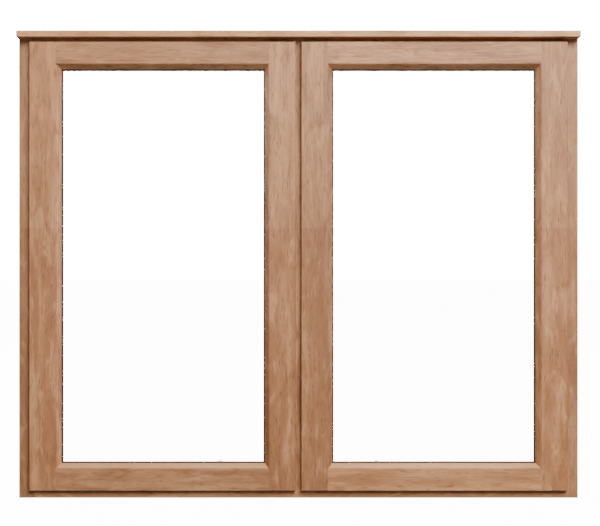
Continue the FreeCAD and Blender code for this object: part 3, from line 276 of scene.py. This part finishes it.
@dataclass(frozen=True)
class Timber:
    """Satin-stained red hardwood: soft streaks, fine pores, a finger-joint change of tone and
    painted light that makes up-facing faces paler.
    """

    upper: Colour = (0.378, 0.176, 0.074)
    lower: Colour = (0.295, 0.122, 0.048)
    streak: Colour = (0.210, 0.082, 0.030)
    pale: Colour = (0.490, 0.245, 0.112)
    pore: Colour = (0.085, 0.030, 0.010)
    end: Colour = (0.150, 0.055, 0.020)
    # Painted light: the pale tone that faces looking up are drawn towards, as if lit from above.
    painted_top_light: Colour = (0.640, 0.330, 0.160)
    joint_height: float = 0.579
    joint_blur: float = 0.002
    drift_reach: float = 0.25
    step_share: float = 0.55
    roughness: float = 0.52

    def shaded(self, colour: Colour, shade: float) -> Colour:
        """Gives a colour made lighter or darker for one board."""
        return tuple(channel * shade for channel in colour)

    def material(self, name: str, grain: Grain, shift: Point, warmth: float = 0.0,
                 jointed: bool = False, shade: float = 1.0) -> bpy.types.Material:
        """Makes the timber of one piece.

        Args:
            name: The material's name.
            grain: The way the grain runs.
            shift: Where this piece was cut from the board, in metres.
            warmth: From 0, the paler and pinker tone, to 1, the darker and warmer one.
            jointed: Whether the tone changes at the finger joint's height instead.
            shade: How much lighter or darker this piece is drawn than the others; for some frame
                members this factor is painted shade and painted light.

        Returns:
            The material.
        """
        graph = Graph(name)
        upper, lower, streak, pale = (self.shaded(colour, shade) for colour in
                                      (self.upper, self.lower, self.streak, self.pale))
        own = graph.node("TexCoord")
        board = graph.place(shift=shift, turn=grain.turn, source=own.outputs["Object"])

        def grained(across: float, along: float, detail: float,
                    distortion: float = 0.0) -> bpy.types.NodeSocket:
            """Gives noise drawn out along the grain.

            Args:
                across: Repeats per metre across the grain.
                along: Repeats per metre along the grain.
                detail: The noise's detail.
                distortion: The noise's distortion.

            Returns:
                The noise value socket.
            """
            vector = graph.place(scale=(across, across, along), source=board)
            return graph.noise(vector, 1.0, detail, 0.55, distortion)

        tone: object = warmth
        if jointed:
            height = graph.node("SeparateXYZ")
            graph.feed(height.inputs[0], own.outputs["Object"])
            step, drift = (graph.ramp(height.outputs[2], self.joint_height - reach,
                                      self.joint_height + reach, share, 0.0)
                           for reach, share in ((self.joint_blur, self.step_share),
                                                (self.drift_reach, 1.0 - self.step_share)))
            tone = graph.maths("ADD", step, drift)
        colour = graph.mix(tone, upper, lower)
        broad = graph.ramp(grained(19.0, 2.2, 3.0, 0.6), 0.38, 0.68)
        colour = graph.mix(graph.maths("MULTIPLY", broad, 0.52), colour, streak)
        light = graph.ramp(grained(31.0, 3.4, 2.0, 0.4), 0.47, 0.72)
        colour = graph.mix(graph.maths("MULTIPLY", light, 0.62), colour, pale)
        mottle = grained(62.0, 17.0, 3.0, 0.8)
        colour = graph.mix(graph.ramp(mottle, 0.50, 0.72, 0.0, 0.60), colour, streak)
        colour = graph.mix(graph.ramp(mottle, 0.48, 0.28, 0.0, 0.55), colour, pale)
        figure = grained(240.0, 8.0, 3.0, 0.3)
        colour = graph.mix(graph.ramp(figure, 0.50, 0.76, 0.0, 0.50), colour, streak)
        flecks = graph.ramp(grained(330.0, 46.0, 1.0), 0.62, 0.72)
        colour = graph.mix(graph.maths("MULTIPLY", flecks, 0.42), colour, self.pore)
        pores = grained(760.0, 60.0, 2.0)
        pore_depth = graph.ramp(pores, 0.60, 0.72)
        colour = graph.mix(graph.maths("MULTIPLY", pore_depth, 0.45), colour, self.pore)
        normal = graph.node("SeparateXYZ")
        graph.feed(normal.inputs[0], own.outputs["Normal"])
        # Painted light: faces that look up are drawn paler, as if lit from above.
        upward_painted_light = graph.ramp(normal.outputs[2], 0.35, 0.85, 0.0, 0.55)
        colour = graph.mix(upward_painted_light, colour, self.painted_top_light)
        facing = graph.ramp(graph.maths("ABSOLUTE", normal.outputs[grain.axis]), 0.80, 0.95)
        ring_at = graph.place(scale=(70.0, 230.0, 1.0), source=board)
        rings = graph.ramp(graph.noise(ring_at, 1.0, 3.0, 0.6, 0.5), 0.35, 0.7)
        end_colour = graph.mix(rings, self.end, self.streak)
        colour = graph.mix(facing, colour, end_colour)
        rough = graph.ramp(figure, 0.3, 0.8, self.roughness - 0.06, self.roughness + 0.10)
        relief = graph.maths("SUBTRACT", graph.maths("MULTIPLY", figure, 0.35), pore_depth)
        bumped = graph.bump(relief, 0.35, 0.0003)
        return graph.finish(Base_Color=colour, Roughness=rough, Normal=bumped,
                            Specular_IOR_Level=0.38)


@dataclass(frozen=True)
class Pane:
    """Clear float glass with a faint green body and a little dust."""

    body: Colour = (0.955, 0.985, 0.972)
    alpha: float = 0.34

    def material(self, name: str) -> bpy.types.Material:
        """Makes the glass.

        Args:
            name: The material's name.

        Returns:
            The material.
        """
        graph = Graph(name)
        dust = graph.noise(graph.place(), 9.0, 4.0)
        colour = graph.mix(graph.ramp(dust, 0.35, 0.75, 0.0, 0.06), self.body, (0.90, 0.94, 0.92))
        rough = graph.ramp(dust, 0.4, 0.8, 0.0, 0.02)
        return graph.finish(Base_Color=colour, Roughness=rough, Transmission_Weight=1.0, IOR=1.45,
                            Alpha=self.alpha)


@dataclass(frozen=True)
class Rubber:
    """Dark seal rubber with a soft bloom and fine draw lines."""

    body: Colour = (0.048, 0.020, 0.012)
    bloom: Colour = (0.085, 0.045, 0.032)
    roughness: float = 0.62

    def material(self, name: str) -> bpy.types.Material:
        """Makes the rubber.

        Args:
            name: The material's name.

        Returns:
            The material.
        """
        graph = Graph(name)
        cloud = graph.noise(graph.place(), 60.0, 4.0)
        fine = graph.noise(graph.place(), 900.0, 2.0)
        colour = graph.mix(graph.ramp(cloud, 0.4, 0.8, 0.0, 0.6), self.body, self.bloom)
        rough = graph.ramp(cloud, 0.3, 0.8, self.roughness - 0.08, self.roughness + 0.14)
        return graph.finish(Base_Color=colour, Roughness=rough,
                            Normal=graph.bump(fine, 0.2, 0.0001))


@dataclass(frozen=True)
class Steel:
    """Satin steel, brushed one way, duller and browner where hands and weather reach it."""

    body: Colour = (0.58, 0.565, 0.54)
    dull: Colour = (0.30, 0.27, 0.235)
    roughness: float = 0.34
    tarnish: float = 0.35

    def material(self, name: str, brushed: Grain = Grain.UPRIGHT) -> bpy.types.Material:
        """Makes the metal.

        Args:
            name: The material's name.
            brushed: The way the brushing runs.

        Returns:
            The material.
        """
        graph = Graph(name)
        scale = {Grain.UPRIGHT: (1500.0, 1500.0, 30.0), Grain.LEVEL: (30.0, 1500.0, 1500.0),
                 Grain.ACROSS: (1500.0, 30.0, 1500.0)}[brushed]
        lines = graph.noise(graph.place(scale=scale), 1.0, 2.0)
        cloud = graph.noise(graph.place(), 110.0, 4.0, 0.6)
        worn = graph.ramp(cloud, 0.42, 0.75, 0.0, self.tarnish)
        colour = graph.mix(worn, self.body, self.dull)
        brushing = graph.ramp(lines, 0.3, 0.7, self.roughness - 0.06, self.roughness + 0.08)
        rough = graph.maths("ADD", brushing, graph.maths("MULTIPLY", worn, 0.3))
        return graph.finish(Base_Color=colour, Metallic=1.0, Roughness=rough,
                            Normal=graph.bump(lines, 0.12, 0.00005))


@dataclass(frozen=True)
class Plastic:
    """Matt moulded plastic with a fine grain."""

    body: Colour = (0.055, 0.057, 0.060)
    worn: Colour = (0.090, 0.090, 0.092)

    def material(self, name: str) -> bpy.types.Material:
        """Makes the plastic.

        Args:
            name: The material's name.

        Returns:
            The material.
        """
        graph = Graph(name)
        grain = graph.noise(graph.place(), 1400.0, 2.0)
        cloud = graph.noise(graph.place(), 45.0, 3.0)
        colour = graph.mix(graph.ramp(cloud, 0.35, 0.7), self.body, self.worn)
        rough = graph.ramp(cloud, 0.3, 0.7, 0.46, 0.60)
        return graph.finish(Base_Color=colour, Roughness=rough,
                            Normal=graph.bump(grain, 0.25, 0.00008))


# ------------------------------------------------------------------ modelling by hand

def deselect() -> None:
    """Deselects every object and leaves edit mode."""
    if bpy.context.object is not None and bpy.context.object.mode != "OBJECT":
        bpy.ops.object.mode_set(mode="OBJECT")
    bpy.ops.object.select_all(action="DESELECT")


class Workpiece:
    """One mesh object while it is being shaped with Blender's own tools."""

    def __init__(self, name: str) -> None:
        """Takes over the primitive that was just added.

        Args:
            name: The piece's name.
        """
        self.object: bpy.types.Object = bpy.context.object
        self.object.name = name
        self.object.data.name = name

    @classmethod
    def slab(cls, name: str, low: Point, high: Point) -> "Workpiece":
        """Adds a cube between two corners.

        Args:
            name: The piece's name.
            low: The lowest corner in metres.
            high: The highest corner in metres.

        Returns:
            The workpiece.
        """
        deselect()
        bpy.ops.mesh.primitive_cube_add(size=1.0)
        piece = cls(name)
        centre = (Vector(low) + Vector(high)) / 2
        piece.object.dimensions = Vector(high) - Vector(low)
        piece.object.location = centre
        piece.settle()
        return piece

    @classmethod
    def disc(cls, name: str, centre: Point, radius: float, depth: float, axis: Grain,
             sides: int = 48) -> "Workpiece":
        """Adds a short cylinder.

        Args:
            name: The piece's name.
            centre: Its centre in metres.
            radius: Its radius.
            depth: Its length along the axis.
            axis: The way its axis runs.
            sides: How many sides it has.

        Returns:
            The workpiece.
        """
        deselect()
        bpy.ops.mesh.primitive_cylinder_add(vertices=sides, radius=radius, depth=depth,
                                            location=centre, rotation=axis.turn)
        piece = cls(name)
        piece.settle()
        return piece

    def activate(self) -> None:
        """Makes this piece the only selected one, and the active one."""
        deselect()
        self.object.select_set(True)
        bpy.context.view_layer.objects.active = self.object

    def settle(self) -> None:
        """Bakes the object's place, turn and size into its mesh."""
        self.activate()
        bpy.ops.object.transform_apply(location=True, rotation=True, scale=True)

    def edit(self, mode: str = "FACE") -> None:
        """Enters edit mode with nothing selected.

        Args:
            mode: VERT, EDGE or FACE selection.
        """
        self.activate()
        bpy.ops.object.mode_set(mode="EDIT")
        bpy.ops.mesh.select_mode(type=mode)
        bpy.ops.mesh.select_all(action="DESELECT")

    def leave(self) -> None:
        """Leaves edit mode."""
        bpy.ops.object.mode_set(mode="OBJECT")

    def pick_faces(self, test: Callable[[bmesh.types.BMFace], bool]) -> int:
        """Selects only the faces that pass a test, in edit mode.

        Args:
            test: What a face must pass.

        Returns:
            How many faces are selected.
        """
        mesh = bmesh.from_edit_mesh(self.object.data)
        for face in mesh.faces:
            face.select_set(False)
        chosen = [face for face in mesh.faces if test(face)]
        for face in chosen:
            face.select_set(True)
        mesh.select_flush_mode()
        bmesh.update_edit_mesh(self.object.data)
        return len(chosen)

    def facing(self, direction: Point) -> int:
        """Selects the faces that look one way.

        Args:
            direction: The way they look.

        Returns:
            How many faces are selected.
        """
        aim = Vector(direction)
        return self.pick_faces(lambda face: face.normal.dot(aim) > SQUARE_ON)

    def centre(self) -> Vector:
        """Gives the middle of the selected corners, in edit mode."""
        mesh = bmesh.from_edit_mesh(self.object.data)
        chosen = [corner.co for corner in mesh.verts if corner.select]
        return sum(chosen, Vector()) / max(len(chosen), 1)

    def draw_out(self, step: Point, grow: Point = (1.0, 1.0, 1.0)) -> None:
        """Extrudes the selected faces by a step and then resizes them about their middle.

        Args:
            step: How far the new faces move, in metres.
            grow: The factors along each axis.
        """
        bpy.ops.mesh.extrude_region_move(TRANSFORM_OT_translate={"value": step})
        bpy.ops.transform.resize(value=grow, center_override=self.centre())

    def soften(self, levels: int = 2) -> None:
        """Rounds the whole shape with an applied subdivision surface.

        Args:
            levels: How many times it is divided.
        """
        modifier = self.object.modifiers.new("soften", "SUBSURF")
        modifier.levels = levels
        modifier.render_levels = levels
        self.apply(modifier)

    def move(self, place: Matrix) -> None:
        """Moves the mesh itself.

        Args:
            place: The movement.
        """
        self.object.data.transform(place)

    def bevel(self, width: float, segments: int = 3, angle: float = 40.0) -> None:
        """Rounds every edge sharper than an angle with a modifier.

        Args:
            width: The rounding's width in metres.
            segments: How many steps it has.
            angle: The least angle that is rounded, in degrees.
        """
        modifier = self.object.modifiers.new("round", "BEVEL")
        modifier.width = width
        modifier.segments = segments
        modifier.limit_method = "ANGLE"
        modifier.angle_limit = math.radians(angle)
        self.apply(modifier)

    def apply(self, modifier: bpy.types.Modifier) -> None:
        """Applies one modifier.

        Args:
            modifier: The modifier to apply.
        """
        self.activate()
        bpy.ops.object.modifier_apply(modifier=modifier.name)

    def join(self, others: Sequence["Workpiece"]) -> None:
        """Joins other workpieces into this one.

        Args:
            others: The workpieces that become part of this one.
        """
        self.activate()
        for other in others:
            other.object.select_set(True)
        bpy.ops.object.join()

    def tidy(self, smooth: float = 35.0) -> None:
        """Merges doubles, points the faces outwards and smooths soft edges.

        Args:
            smooth: The angle below which an edge is shaded smooth, in degrees.
        """
        self.edit("VERT")
        bpy.ops.mesh.select_all(action="SELECT")
        bpy.ops.mesh.remove_doubles(threshold=1e-6)
        bpy.ops.mesh.normals_make_consistent(inside=False)
        self.leave()
        self.activate()
        bpy.ops.object.shade_smooth_by_angle(angle=math.radians(smooth))

    def dress(self, material: bpy.types.Material, body: str, slot: str) -> None:
        """Gives the piece its finish and the body it rides on.

        Args:
            material: The finish.
            body: The CAD body it moves with.
            slot: Not used.
        """
        self.object.data.materials.clear()
        self.object.data.materials.append(material)
        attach(self.object, body)


def ring(name: str, low: Point, high: Point, width: float, round_by: float) -> Workpiece:
    """Makes a rounded rectangular ring that stands in the plane of the window.

    Args:
        name: The piece's name.
        low: The ring's lowest corner in metres.
        high: The ring's highest corner in metres.
        width: How wide its four sides are.
        round_by: The rounding of its edges.

    Returns:
        The finished ring.
    """
    piece = Workpiece.slab(name, low, high)
    piece.edit()
    piece.facing((0.0, -1.0, 0.0))
    bpy.ops.mesh.inset(thickness=width, depth=0.0)
    piece.leave()
    piece.edit()
    piece.facing((0.0, 1.0, 0.0))
    bpy.ops.mesh.inset(thickness=width, depth=0.0)
    middle = (Vector(low) + Vector(high)) / 2
    piece.pick_faces(lambda face: abs(face.normal.y) > SQUARE_ON
                     and (face.calc_center_median() - middle).length < (high[1] - low[1]))
    bpy.ops.mesh.bridge_edge_loops()
    piece.leave()
    piece.bevel(round_by, 3)
    piece.tidy()
    return piece


def box_of(node: str) -> tuple[Vector, Vector]:
    """Gives a CAD node's lowest and highest corners as vectors.

    Args:
        node: The node's name.

    Returns:
        The two corners in metres.
    """
    low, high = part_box(node)
    return Vector(low), Vector(high)


def dress_nodes(nodes: Iterable[str], material: bpy.types.Material) -> None:
    """Gives CAD nodes a finish.

    Args:
        nodes: The nodes' names.
        material: The finish.
    """
    for node in nodes:
        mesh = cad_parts[node].data
        mesh.materials.clear()
        mesh.materials.append(material)


# ------------------------------------------------------------------ sub-assemblies

@dataclass
class OuterFrame:
    """The fixed frame: jambs, head, sill, mullion, drip mould and pegs."""

    timber: Timber = field(default_factory=Timber)

    def dress(self) -> None:
        """Gives each member timber cut from its own part of the board."""
        members = (
            ("jamb_left", Grain.UPRIGHT, (0.31, 0.07, 0.0), 0.55, True, 0.86),
            ("jamb_right", Grain.UPRIGHT, (1.73, 0.21, 0.4), 0.50, True, 0.98),
            # Painted shade: the mullion's factor below 1 draws it darker for the shade between the
            # two sashes.
            ("mullion", Grain.UPRIGHT, (2.91, 0.33, 0.9), 0.75, False, 0.92),
            # Painted light: the sill's factor above 1 draws it lighter to lift the shadow the
            # sashes cast on it.
            ("sill", Grain.LEVEL, (0.2, 0.91, 3.17), 0.40, False, 1.12),
            ("head", Grain.LEVEL, (0.6, 1.27, 4.41), 0.60, False, 1.0),
            ("drip_mould", Grain.LEVEL, (0.9, 1.77, 5.23), 0.0, False, 1.45),
        )
        for node, *cut in members:
            dress_nodes([node], self.timber.material(f"{node}_timber", *cut))
        pegs = self.timber.material("peg_timber", Grain.ACROSS, (7.1, 0.4, 0.2), 1.0)
        dress_nodes(["frame_pegs"], pegs)
        LOG.info("outer frame dressed")


@dataclass
class Sash:
    """One sash: stiles, rails, beads, pegs and its pane."""

    side: Side
    timber: Timber = field(default_factory=Timber)
    gasket_inset: float = 6.6 * MM
    gasket_width: float = 3.4 * MM
    gasket_thick: float = 1.45 * MM
    gasket_play: float = 0.05 * MM

    def dress(self, glass: bpy.types.Material, rubber: bpy.types.Material,
              plastic: bpy.types.Material) -> None:
        """Gives the sash its timber, glass and small parts.

        Args:
            glass: The pane's finish.
            rubber: The glazing tapes' finish.
            plastic: The setting blocks' finish.
        """
        side = self.side.value
        away = 11.0 if self.side is Side.LEFT else 23.0
        shades = (1.12, 1.04, 1.04, 0.93) if self.side is Side.LEFT else (1.13, 0.98, 1.06, 1.18)
        members = (
            (f"hinge_stile_{side}", Grain.UPRIGHT, (away + 0.13, 0.41, 0.2), 0.5, True, shades[0]),
            (f"meeting_stile_{side}", Grain.UPRIGHT, (away + 1.37, 0.17, 1.3), 0.5, True,
             shades[1]),
            (f"top_rail_{side}", Grain.LEVEL, (0.3, 0.7, away + 2.61), 0.10, False, shades[2]),
            (f"bottom_rail_{side}", Grain.LEVEL, (0.5, 0.9, away + 3.83), 0.55, False, shades[3]),
            (f"rail_beads_{side}", Grain.LEVEL, (0.8, 1.9, away + 4.19), 0.6, False, 1.0),
            (f"stile_beads_{side}", Grain.UPRIGHT, (away + 5.57, 0.6, 0.7), 0.6, False, 1.0),
            (f"sash_pegs_{side}", Grain.ACROSS, (away + 6.71, 0.2, 0.3), 1.0, False, 1.0),
        )
        for node, *cut in members:
            dress_nodes([node], self.timber.material(f"{node}_timber", *cut))
        dress_nodes([f"glass_{side}"], glass)
        dress_nodes([f"glazing_tapes_{side}"], rubber)
        dress_nodes([f"setting_blocks_{side}"], plastic)

    def build_gaskets(self, rubber: bpy.types.Material) -> None:
        """Builds the rounded rubber lips that show at both faces of the pane.

        Args:
            rubber: Their finish.
        """
        side = self.side.value
        glass_low, glass_high = box_of(f"glass_{side}")
        inset = self.gasket_inset
        play = self.gasket_play
        for name, near, far in (("outer", glass_low.y - self.gasket_thick, glass_low.y - play),
                                ("inner", glass_high.y + play, glass_high.y + self.gasket_thick)):
            low = (glass_low.x + inset, near, glass_low.z + inset)
            high = (glass_high.x - inset, far, glass_high.z - inset)
            piece = ring(f"gasket_{name}_{side}", low, high, self.gasket_width, 0.5 * MM)
            piece.dress(rubber, f"sash_{side}", "tape")
        LOG.info("gaskets built on the %s sash", side)


@dataclass
class LatchHandle:
    """The turning handle of a latch: hub, waisted arm, raised grip and spur."""

    side: Side
    line: float = 46.0 * MM
    height: float = 498.5 * MM
    front: float = 5.2 * MM
    thick: float = 4.2 * MM
    hub_radius: float = 8.0 * MM
    spur_length: float = 17.0 * MM
    spur_width: float = 6.0 * MM
    spur_from: float = 4.0 * MM
    spur_to: float = 11.0 * MM
    spur_neck: float = 3.5 * MM
    rest: float = 25.0
    smooth: float = 40.0
    hub_rim: float = 1.4 * MM
    hub_step: float = 0.5 * MM
    arm_half: float = 3.9 * MM
    arm_profile: tuple[tuple[Point, Point], ...] = (
        ((0.0, 0.0, -6.0 * MM), (0.80, 1.0, 1.0)),
        ((0.0, 0.4 * MM, -6.0 * MM), (1.0, 1.05, 1.0)),
        ((0.0, 1.6 * MM, -7.0 * MM), (1.14, 1.12, 1.0)),
        ((0.0, 1.5 * MM, -9.0 * MM), (1.20, 1.10, 1.0)),
        ((0.0, 0.6 * MM, -10.0 * MM), (1.12, 1.0, 1.0)),
        ((0.0, 0.0, -5.0 * MM), (0.82, 0.92, 1.0)),
        ((0.0, -0.3 * MM, -2.6 * MM), (0.55, 0.70, 1.0)),
    )

    def build(self, metal: bpy.types.Material) -> None:
        """Builds the handle in place of its plain lever.

        Args:
            metal: Its finish.
        """
        hub = self.build_hub()
        hub.join([self.build_arm(), self.build_spur()])
        sign = self.side.sign
        turned = Matrix.Rotation(math.radians(-sign * self.rest), 4, "Y")
        hub.move(Matrix.Translation((sign * self.line, 0.0, self.height)) @ turned)
        hub.tidy(self.smooth)
        hub.object.name = f"latch_handle_{self.side.value}"
        hub.dress(metal, f"latch_{self.side.value}", "fitting")
        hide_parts(f"latch_lever_{self.side.value}")
        LOG.info("latch handle built on the %s sash", self.side.value)

    def build_hub(self) -> Workpiece:
        """Builds the stepped hub.

        Returns:
            The hub, round its own middle.
        """
        middle = self.front + self.thick / 2
        hub = Workpiece.disc("hub", (0.0, middle, 0.0), self.hub_radius, self.thick, Grain.ACROSS)
        hub.edit()
        hub.facing((0.0, 1.0, 0.0))
        bpy.ops.mesh.inset(thickness=self.hub_rim, depth=0.0)
        bpy.ops.mesh.inset(thickness=self.hub_step, depth=-self.hub_step)
        hub.leave()
        hub.bevel(self.hub_step, 3, 30.0)
        return hub

    def build_arm(self) -> Workpiece:
        """Builds the waisted arm and its raised grip.

        Returns:
            The arm, hanging from the hub's middle.
        """
        back = self.front + self.thick
        arm = Workpiece.slab("arm", (-self.arm_half, self.front, -9.0 * MM),
                             (self.arm_half, back, -2.0 * MM))
        arm.edit()
        arm.facing((0.0, 0.0, -1.0))
        for step, grow in self.arm_profile:
            arm.draw_out(step, grow)
        arm.leave()
        arm.soften(3)
        return arm

    def build_spur(self) -> Workpiece:
        """Builds the spur that goes behind the catch.

        Returns:
            The spur, reaching from the hub's middle towards the mullion.
        """
        way = -self.side.sign
        half = self.spur_width / 2
        near, far = sorted((way * self.spur_from, way * self.spur_to))
        back = self.front + self.thick
        spur = Workpiece.slab("spur", (near, self.front, -half), (far, back, half))
        spur.edit()
        spur.facing((float(way), 0.0, 0.0))
        spur.draw_out((way * self.spur_neck, 0.0, 0.0), (1.0, 0.94, 0.94))
        nose = self.spur_length - self.spur_to - self.spur_neck
        spur.draw_out((way * nose, 0.0, 0.0), (1.0, 0.62, 0.70))
        spur.leave()
        spur.bevel(0.6 * MM, 3, 20.0)
        return spur


@dataclass
class StayCurl:
    """The curled finger end of a peg stay's arm."""

    side: Side
    joint: float = 411.0 * MM
    seat: float = 40.5 * MM
    joint_rise: float = 4.0 * MM
    line: float = 12.0 * MM
    length: float = 240.0 * MM
    width: float = 11.4 * MM
    thick: float = 3.4 * MM
    radius: float = 7.0 * MM
    rest: float = 3.5
    smooth: float = 40.0
    lap: float = 6.0 * MM
    lead: float = 1.0 * MM
    bend: float = 215.0
    rounding: float = 0.9 * MM

    def build(self, metal: bpy.types.Material) -> None:
        """Builds the curl at the arm's free end.

        Args:
            metal: Its finish.
        """
        sign = self.side.sign
        end = self.joint - self.length
        near, far = sorted((sign * (end + self.lap), sign * (end - self.lead)))
        middle_z = self.seat + 2.0 * MM
        piece = Workpiece.slab(f"stay_curl_{self.side.value}",
                               (near, self.line - self.width / 2, middle_z - self.thick / 2),
                               (far, self.line + self.width / 2, middle_z + self.thick / 2))
        piece.edit()
        piece.facing((-float(sign), 0.0, 0.0))
        bpy.ops.mesh.spin(steps=14, angle=math.radians(self.bend), dupli=False,
                          center=(sign * (end - self.lead), self.line, middle_z + self.radius),
                          axis=(0.0, float(sign), 0.0))
        piece.leave()
        joint = Vector((sign * self.joint, self.line, self.seat + self.joint_rise))
        turned = Matrix.Rotation(math.radians(sign * self.rest), 4, "Y")
        piece.move(Matrix.Translation(joint) @ turned @ Matrix.Translation(-joint))
        piece.tidy(self.smooth)
        piece.bevel(self.rounding, 3, 50.0)
        piece.tidy(self.smooth)
        piece.dress(metal, f"stay_arm_{self.side.value}", "fitting")
        LOG.info("stay curl built on the %s stay", self.side.value)


def seen_directly(tree: bpy.types.NodeTree) -> bpy.types.NodeSocket:
    """Tells a look at the ground, straight or through clear glass, from the light it throws.

    Args:
        tree: The node tree of the floor or the sky.

    Returns:
        A socket that is 1 for a direct look and 0 for scattered light.
    """
    path = tree.nodes.new("ShaderNodeLightPath").outputs

    def maths(operation: str, first: bpy.types.NodeSocket,
              second: bpy.types.NodeSocket | float) -> bpy.types.NodeSocket:
        """Adds a maths node.

        Args:
            operation: What it does.
            first: Its first input.
            second: Its second input, a socket or a number.

        Returns:
            The result's socket.
        """
        made = tree.nodes.new("ShaderNodeMath")
        made.operation = operation
        tree.links.new(first, made.inputs[0])
        if isinstance(second, float):
            made.inputs[1].default_value = second
        else:
            tree.links.new(second, made.inputs[1])
        return made.outputs[0]

    bounces = maths("ADD", path["Diffuse Depth"], path["Glossy Depth"])
    through = maths("MULTIPLY", path["Is Transmission Ray"], maths("LESS_THAN", bounces, 0.5))
    return maths("MAXIMUM", path["Is Camera Ray"], through)


@dataclass
class Studio:
    """The floor, the lights, the sky and the camera."""

    camera_at: Point = (0.0033, -2.4345, 0.5045)
    lens: float = 67.12
    middle: Point = (0.0, 0.0, 0.5)
    lamps: tuple[tuple[str, Point, float, float], ...] = (
        ("key", (1.25, -3.45, 3.05), 2.3, 430.0),
        ("back_right", (2.3, 3.0, 2.3), 1.8, 260.0),
        ("back_left", (-2.6, 2.6, 1.9), 1.8, 156.0),
        ("fill", (-1.2, -3.6, 0.75), 2.4, 20.0),
    )
    sky: float = 0.045
    white: float = 18.0
    floor_share: float = 0.8
    floor_size: float = 60.0
    floor_drop: float = 0.5 * MM
    floor_dark: Colour = (0.13, 0.13, 0.128)
    floor_pale: Colour = (0.15, 0.15, 0.15)

    def build(self) -> None:
        """Builds everything round the window."""
        self.build_floor()
        self.build_lights()
        self.build_sky()
        self.build_camera()
        LOG.info("studio built")

    def build_floor(self) -> None:
        """Lays the plain pale floor."""
        deselect()
        bpy.ops.mesh.primitive_plane_add(size=self.floor_size,
                                         location=(0.0, 0.0, -self.floor_drop))
        floor = bpy.context.object
        floor.name = "floor"
        graph = Graph("floor_paint")
        cloud = graph.noise(graph.place(), 3.0, 3.0)
        colour = graph.mix(graph.ramp(cloud, 0.3, 0.7), self.floor_dark, self.floor_pale)
        glow = graph.maths("MULTIPLY", seen_directly(graph.tree), self.white * self.floor_share)
        floor.data.materials.append(graph.finish(
            Base_Color=colour, Roughness=0.9, Specular_IOR_Level=0.1,
            Emission_Color=(1.0, 1.0, 1.0), Emission_Strength=glow))

    def build_lights(self) -> None:
        """Hangs the square soft lights, each looking at the window's middle."""
        for name, at, size, power in self.lamps:
            lamp = bpy.data.lights.new(name, "AREA")
            lamp.size = size
            lamp.energy = power
            holder = bpy.data.objects.new(name, lamp)
            bpy.context.scene.collection.objects.link(holder)
            holder.location = at
            way = Vector(self.middle) - Vector(at)
            holder.rotation_euler = way.to_track_quat("-Z", "Y").to_euler()

    def build_sky(self) -> None:
        """Lights the scene evenly and shows a plain white ground behind it."""
        world = bpy.data.worlds.new("sky")
        bpy.context.scene.world = world
        world.use_nodes = True
        tree = world.node_tree
        tree.nodes.clear()
        mix = tree.nodes.new("ShaderNodeMixShader")
        out = tree.nodes.new("ShaderNodeOutputWorld")
        for socket, strength in ((mix.inputs[1], self.sky), (mix.inputs[2], self.white)):
            ground = tree.nodes.new("ShaderNodeBackground")
            ground.inputs[0].default_value = (1.0, 1.0, 1.0, 1.0)
            ground.inputs[1].default_value = strength
            tree.links.new(ground.outputs[0], socket)
        tree.links.new(seen_directly(tree), mix.inputs[0])
        tree.links.new(mix.outputs[0], out.inputs[0])

    def build_camera(self) -> None:
        """Sets the camera square on to the window."""
        eye = bpy.data.cameras.new("camera")
        eye.sensor_width = 36.0
        eye.lens = self.lens
        eye.dof.use_dof = False
        holder = bpy.data.objects.new("camera", eye)
        bpy.context.scene.collection.objects.link(holder)
        holder.location = self.camera_at
        holder.rotation_euler = (QUARTER, 0.0, 0.0)
        bpy.context.scene.camera = holder


def main() -> None:
    """Builds and dresses the window, piece by piece."""
    logging.basicConfig(level=logging.INFO, format="%(message)s")
    glass = Pane().material("clear_glass")
    rubber = Rubber().material("seal_rubber")
    plastic = Plastic().material("block_plastic")
    steel = Steel().material("satin_steel")
    dull = Steel(body=(0.24, 0.215, 0.19), dull=(0.12, 0.10, 0.085),
                 roughness=0.42).material("dull_steel")
    screw = Steel(body=(0.36, 0.33, 0.29), dull=(0.16, 0.14, 0.12),
                  roughness=0.38).material("screw_steel")
    OuterFrame().dress()
    for side in Side:
        sash = Sash(side)
        sash.dress(glass, rubber, plastic)
        sash.build_gaskets(rubber)
        LatchHandle(side).build(steel)
        StayCurl(side).build(steel)
        dress_nodes([f"weather_seal_{side.value}"], rubber)
        dress_nodes([f"hinge_frame_leaves_{side.value}", f"hinge_sash_leaves_{side.value}",
                     f"hinge_pins_{side.value}"], dull)
        dress_nodes([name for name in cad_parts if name.endswith(side.value)
                     and name.startswith(("latch", "catch", "stay"))], steel)
        dress_nodes([f"sash_screws_{side.value}"], screw)
    dress_nodes(["frame_screws"], screw)
    Studio().build()


if __name__ == "__main__":
    main()
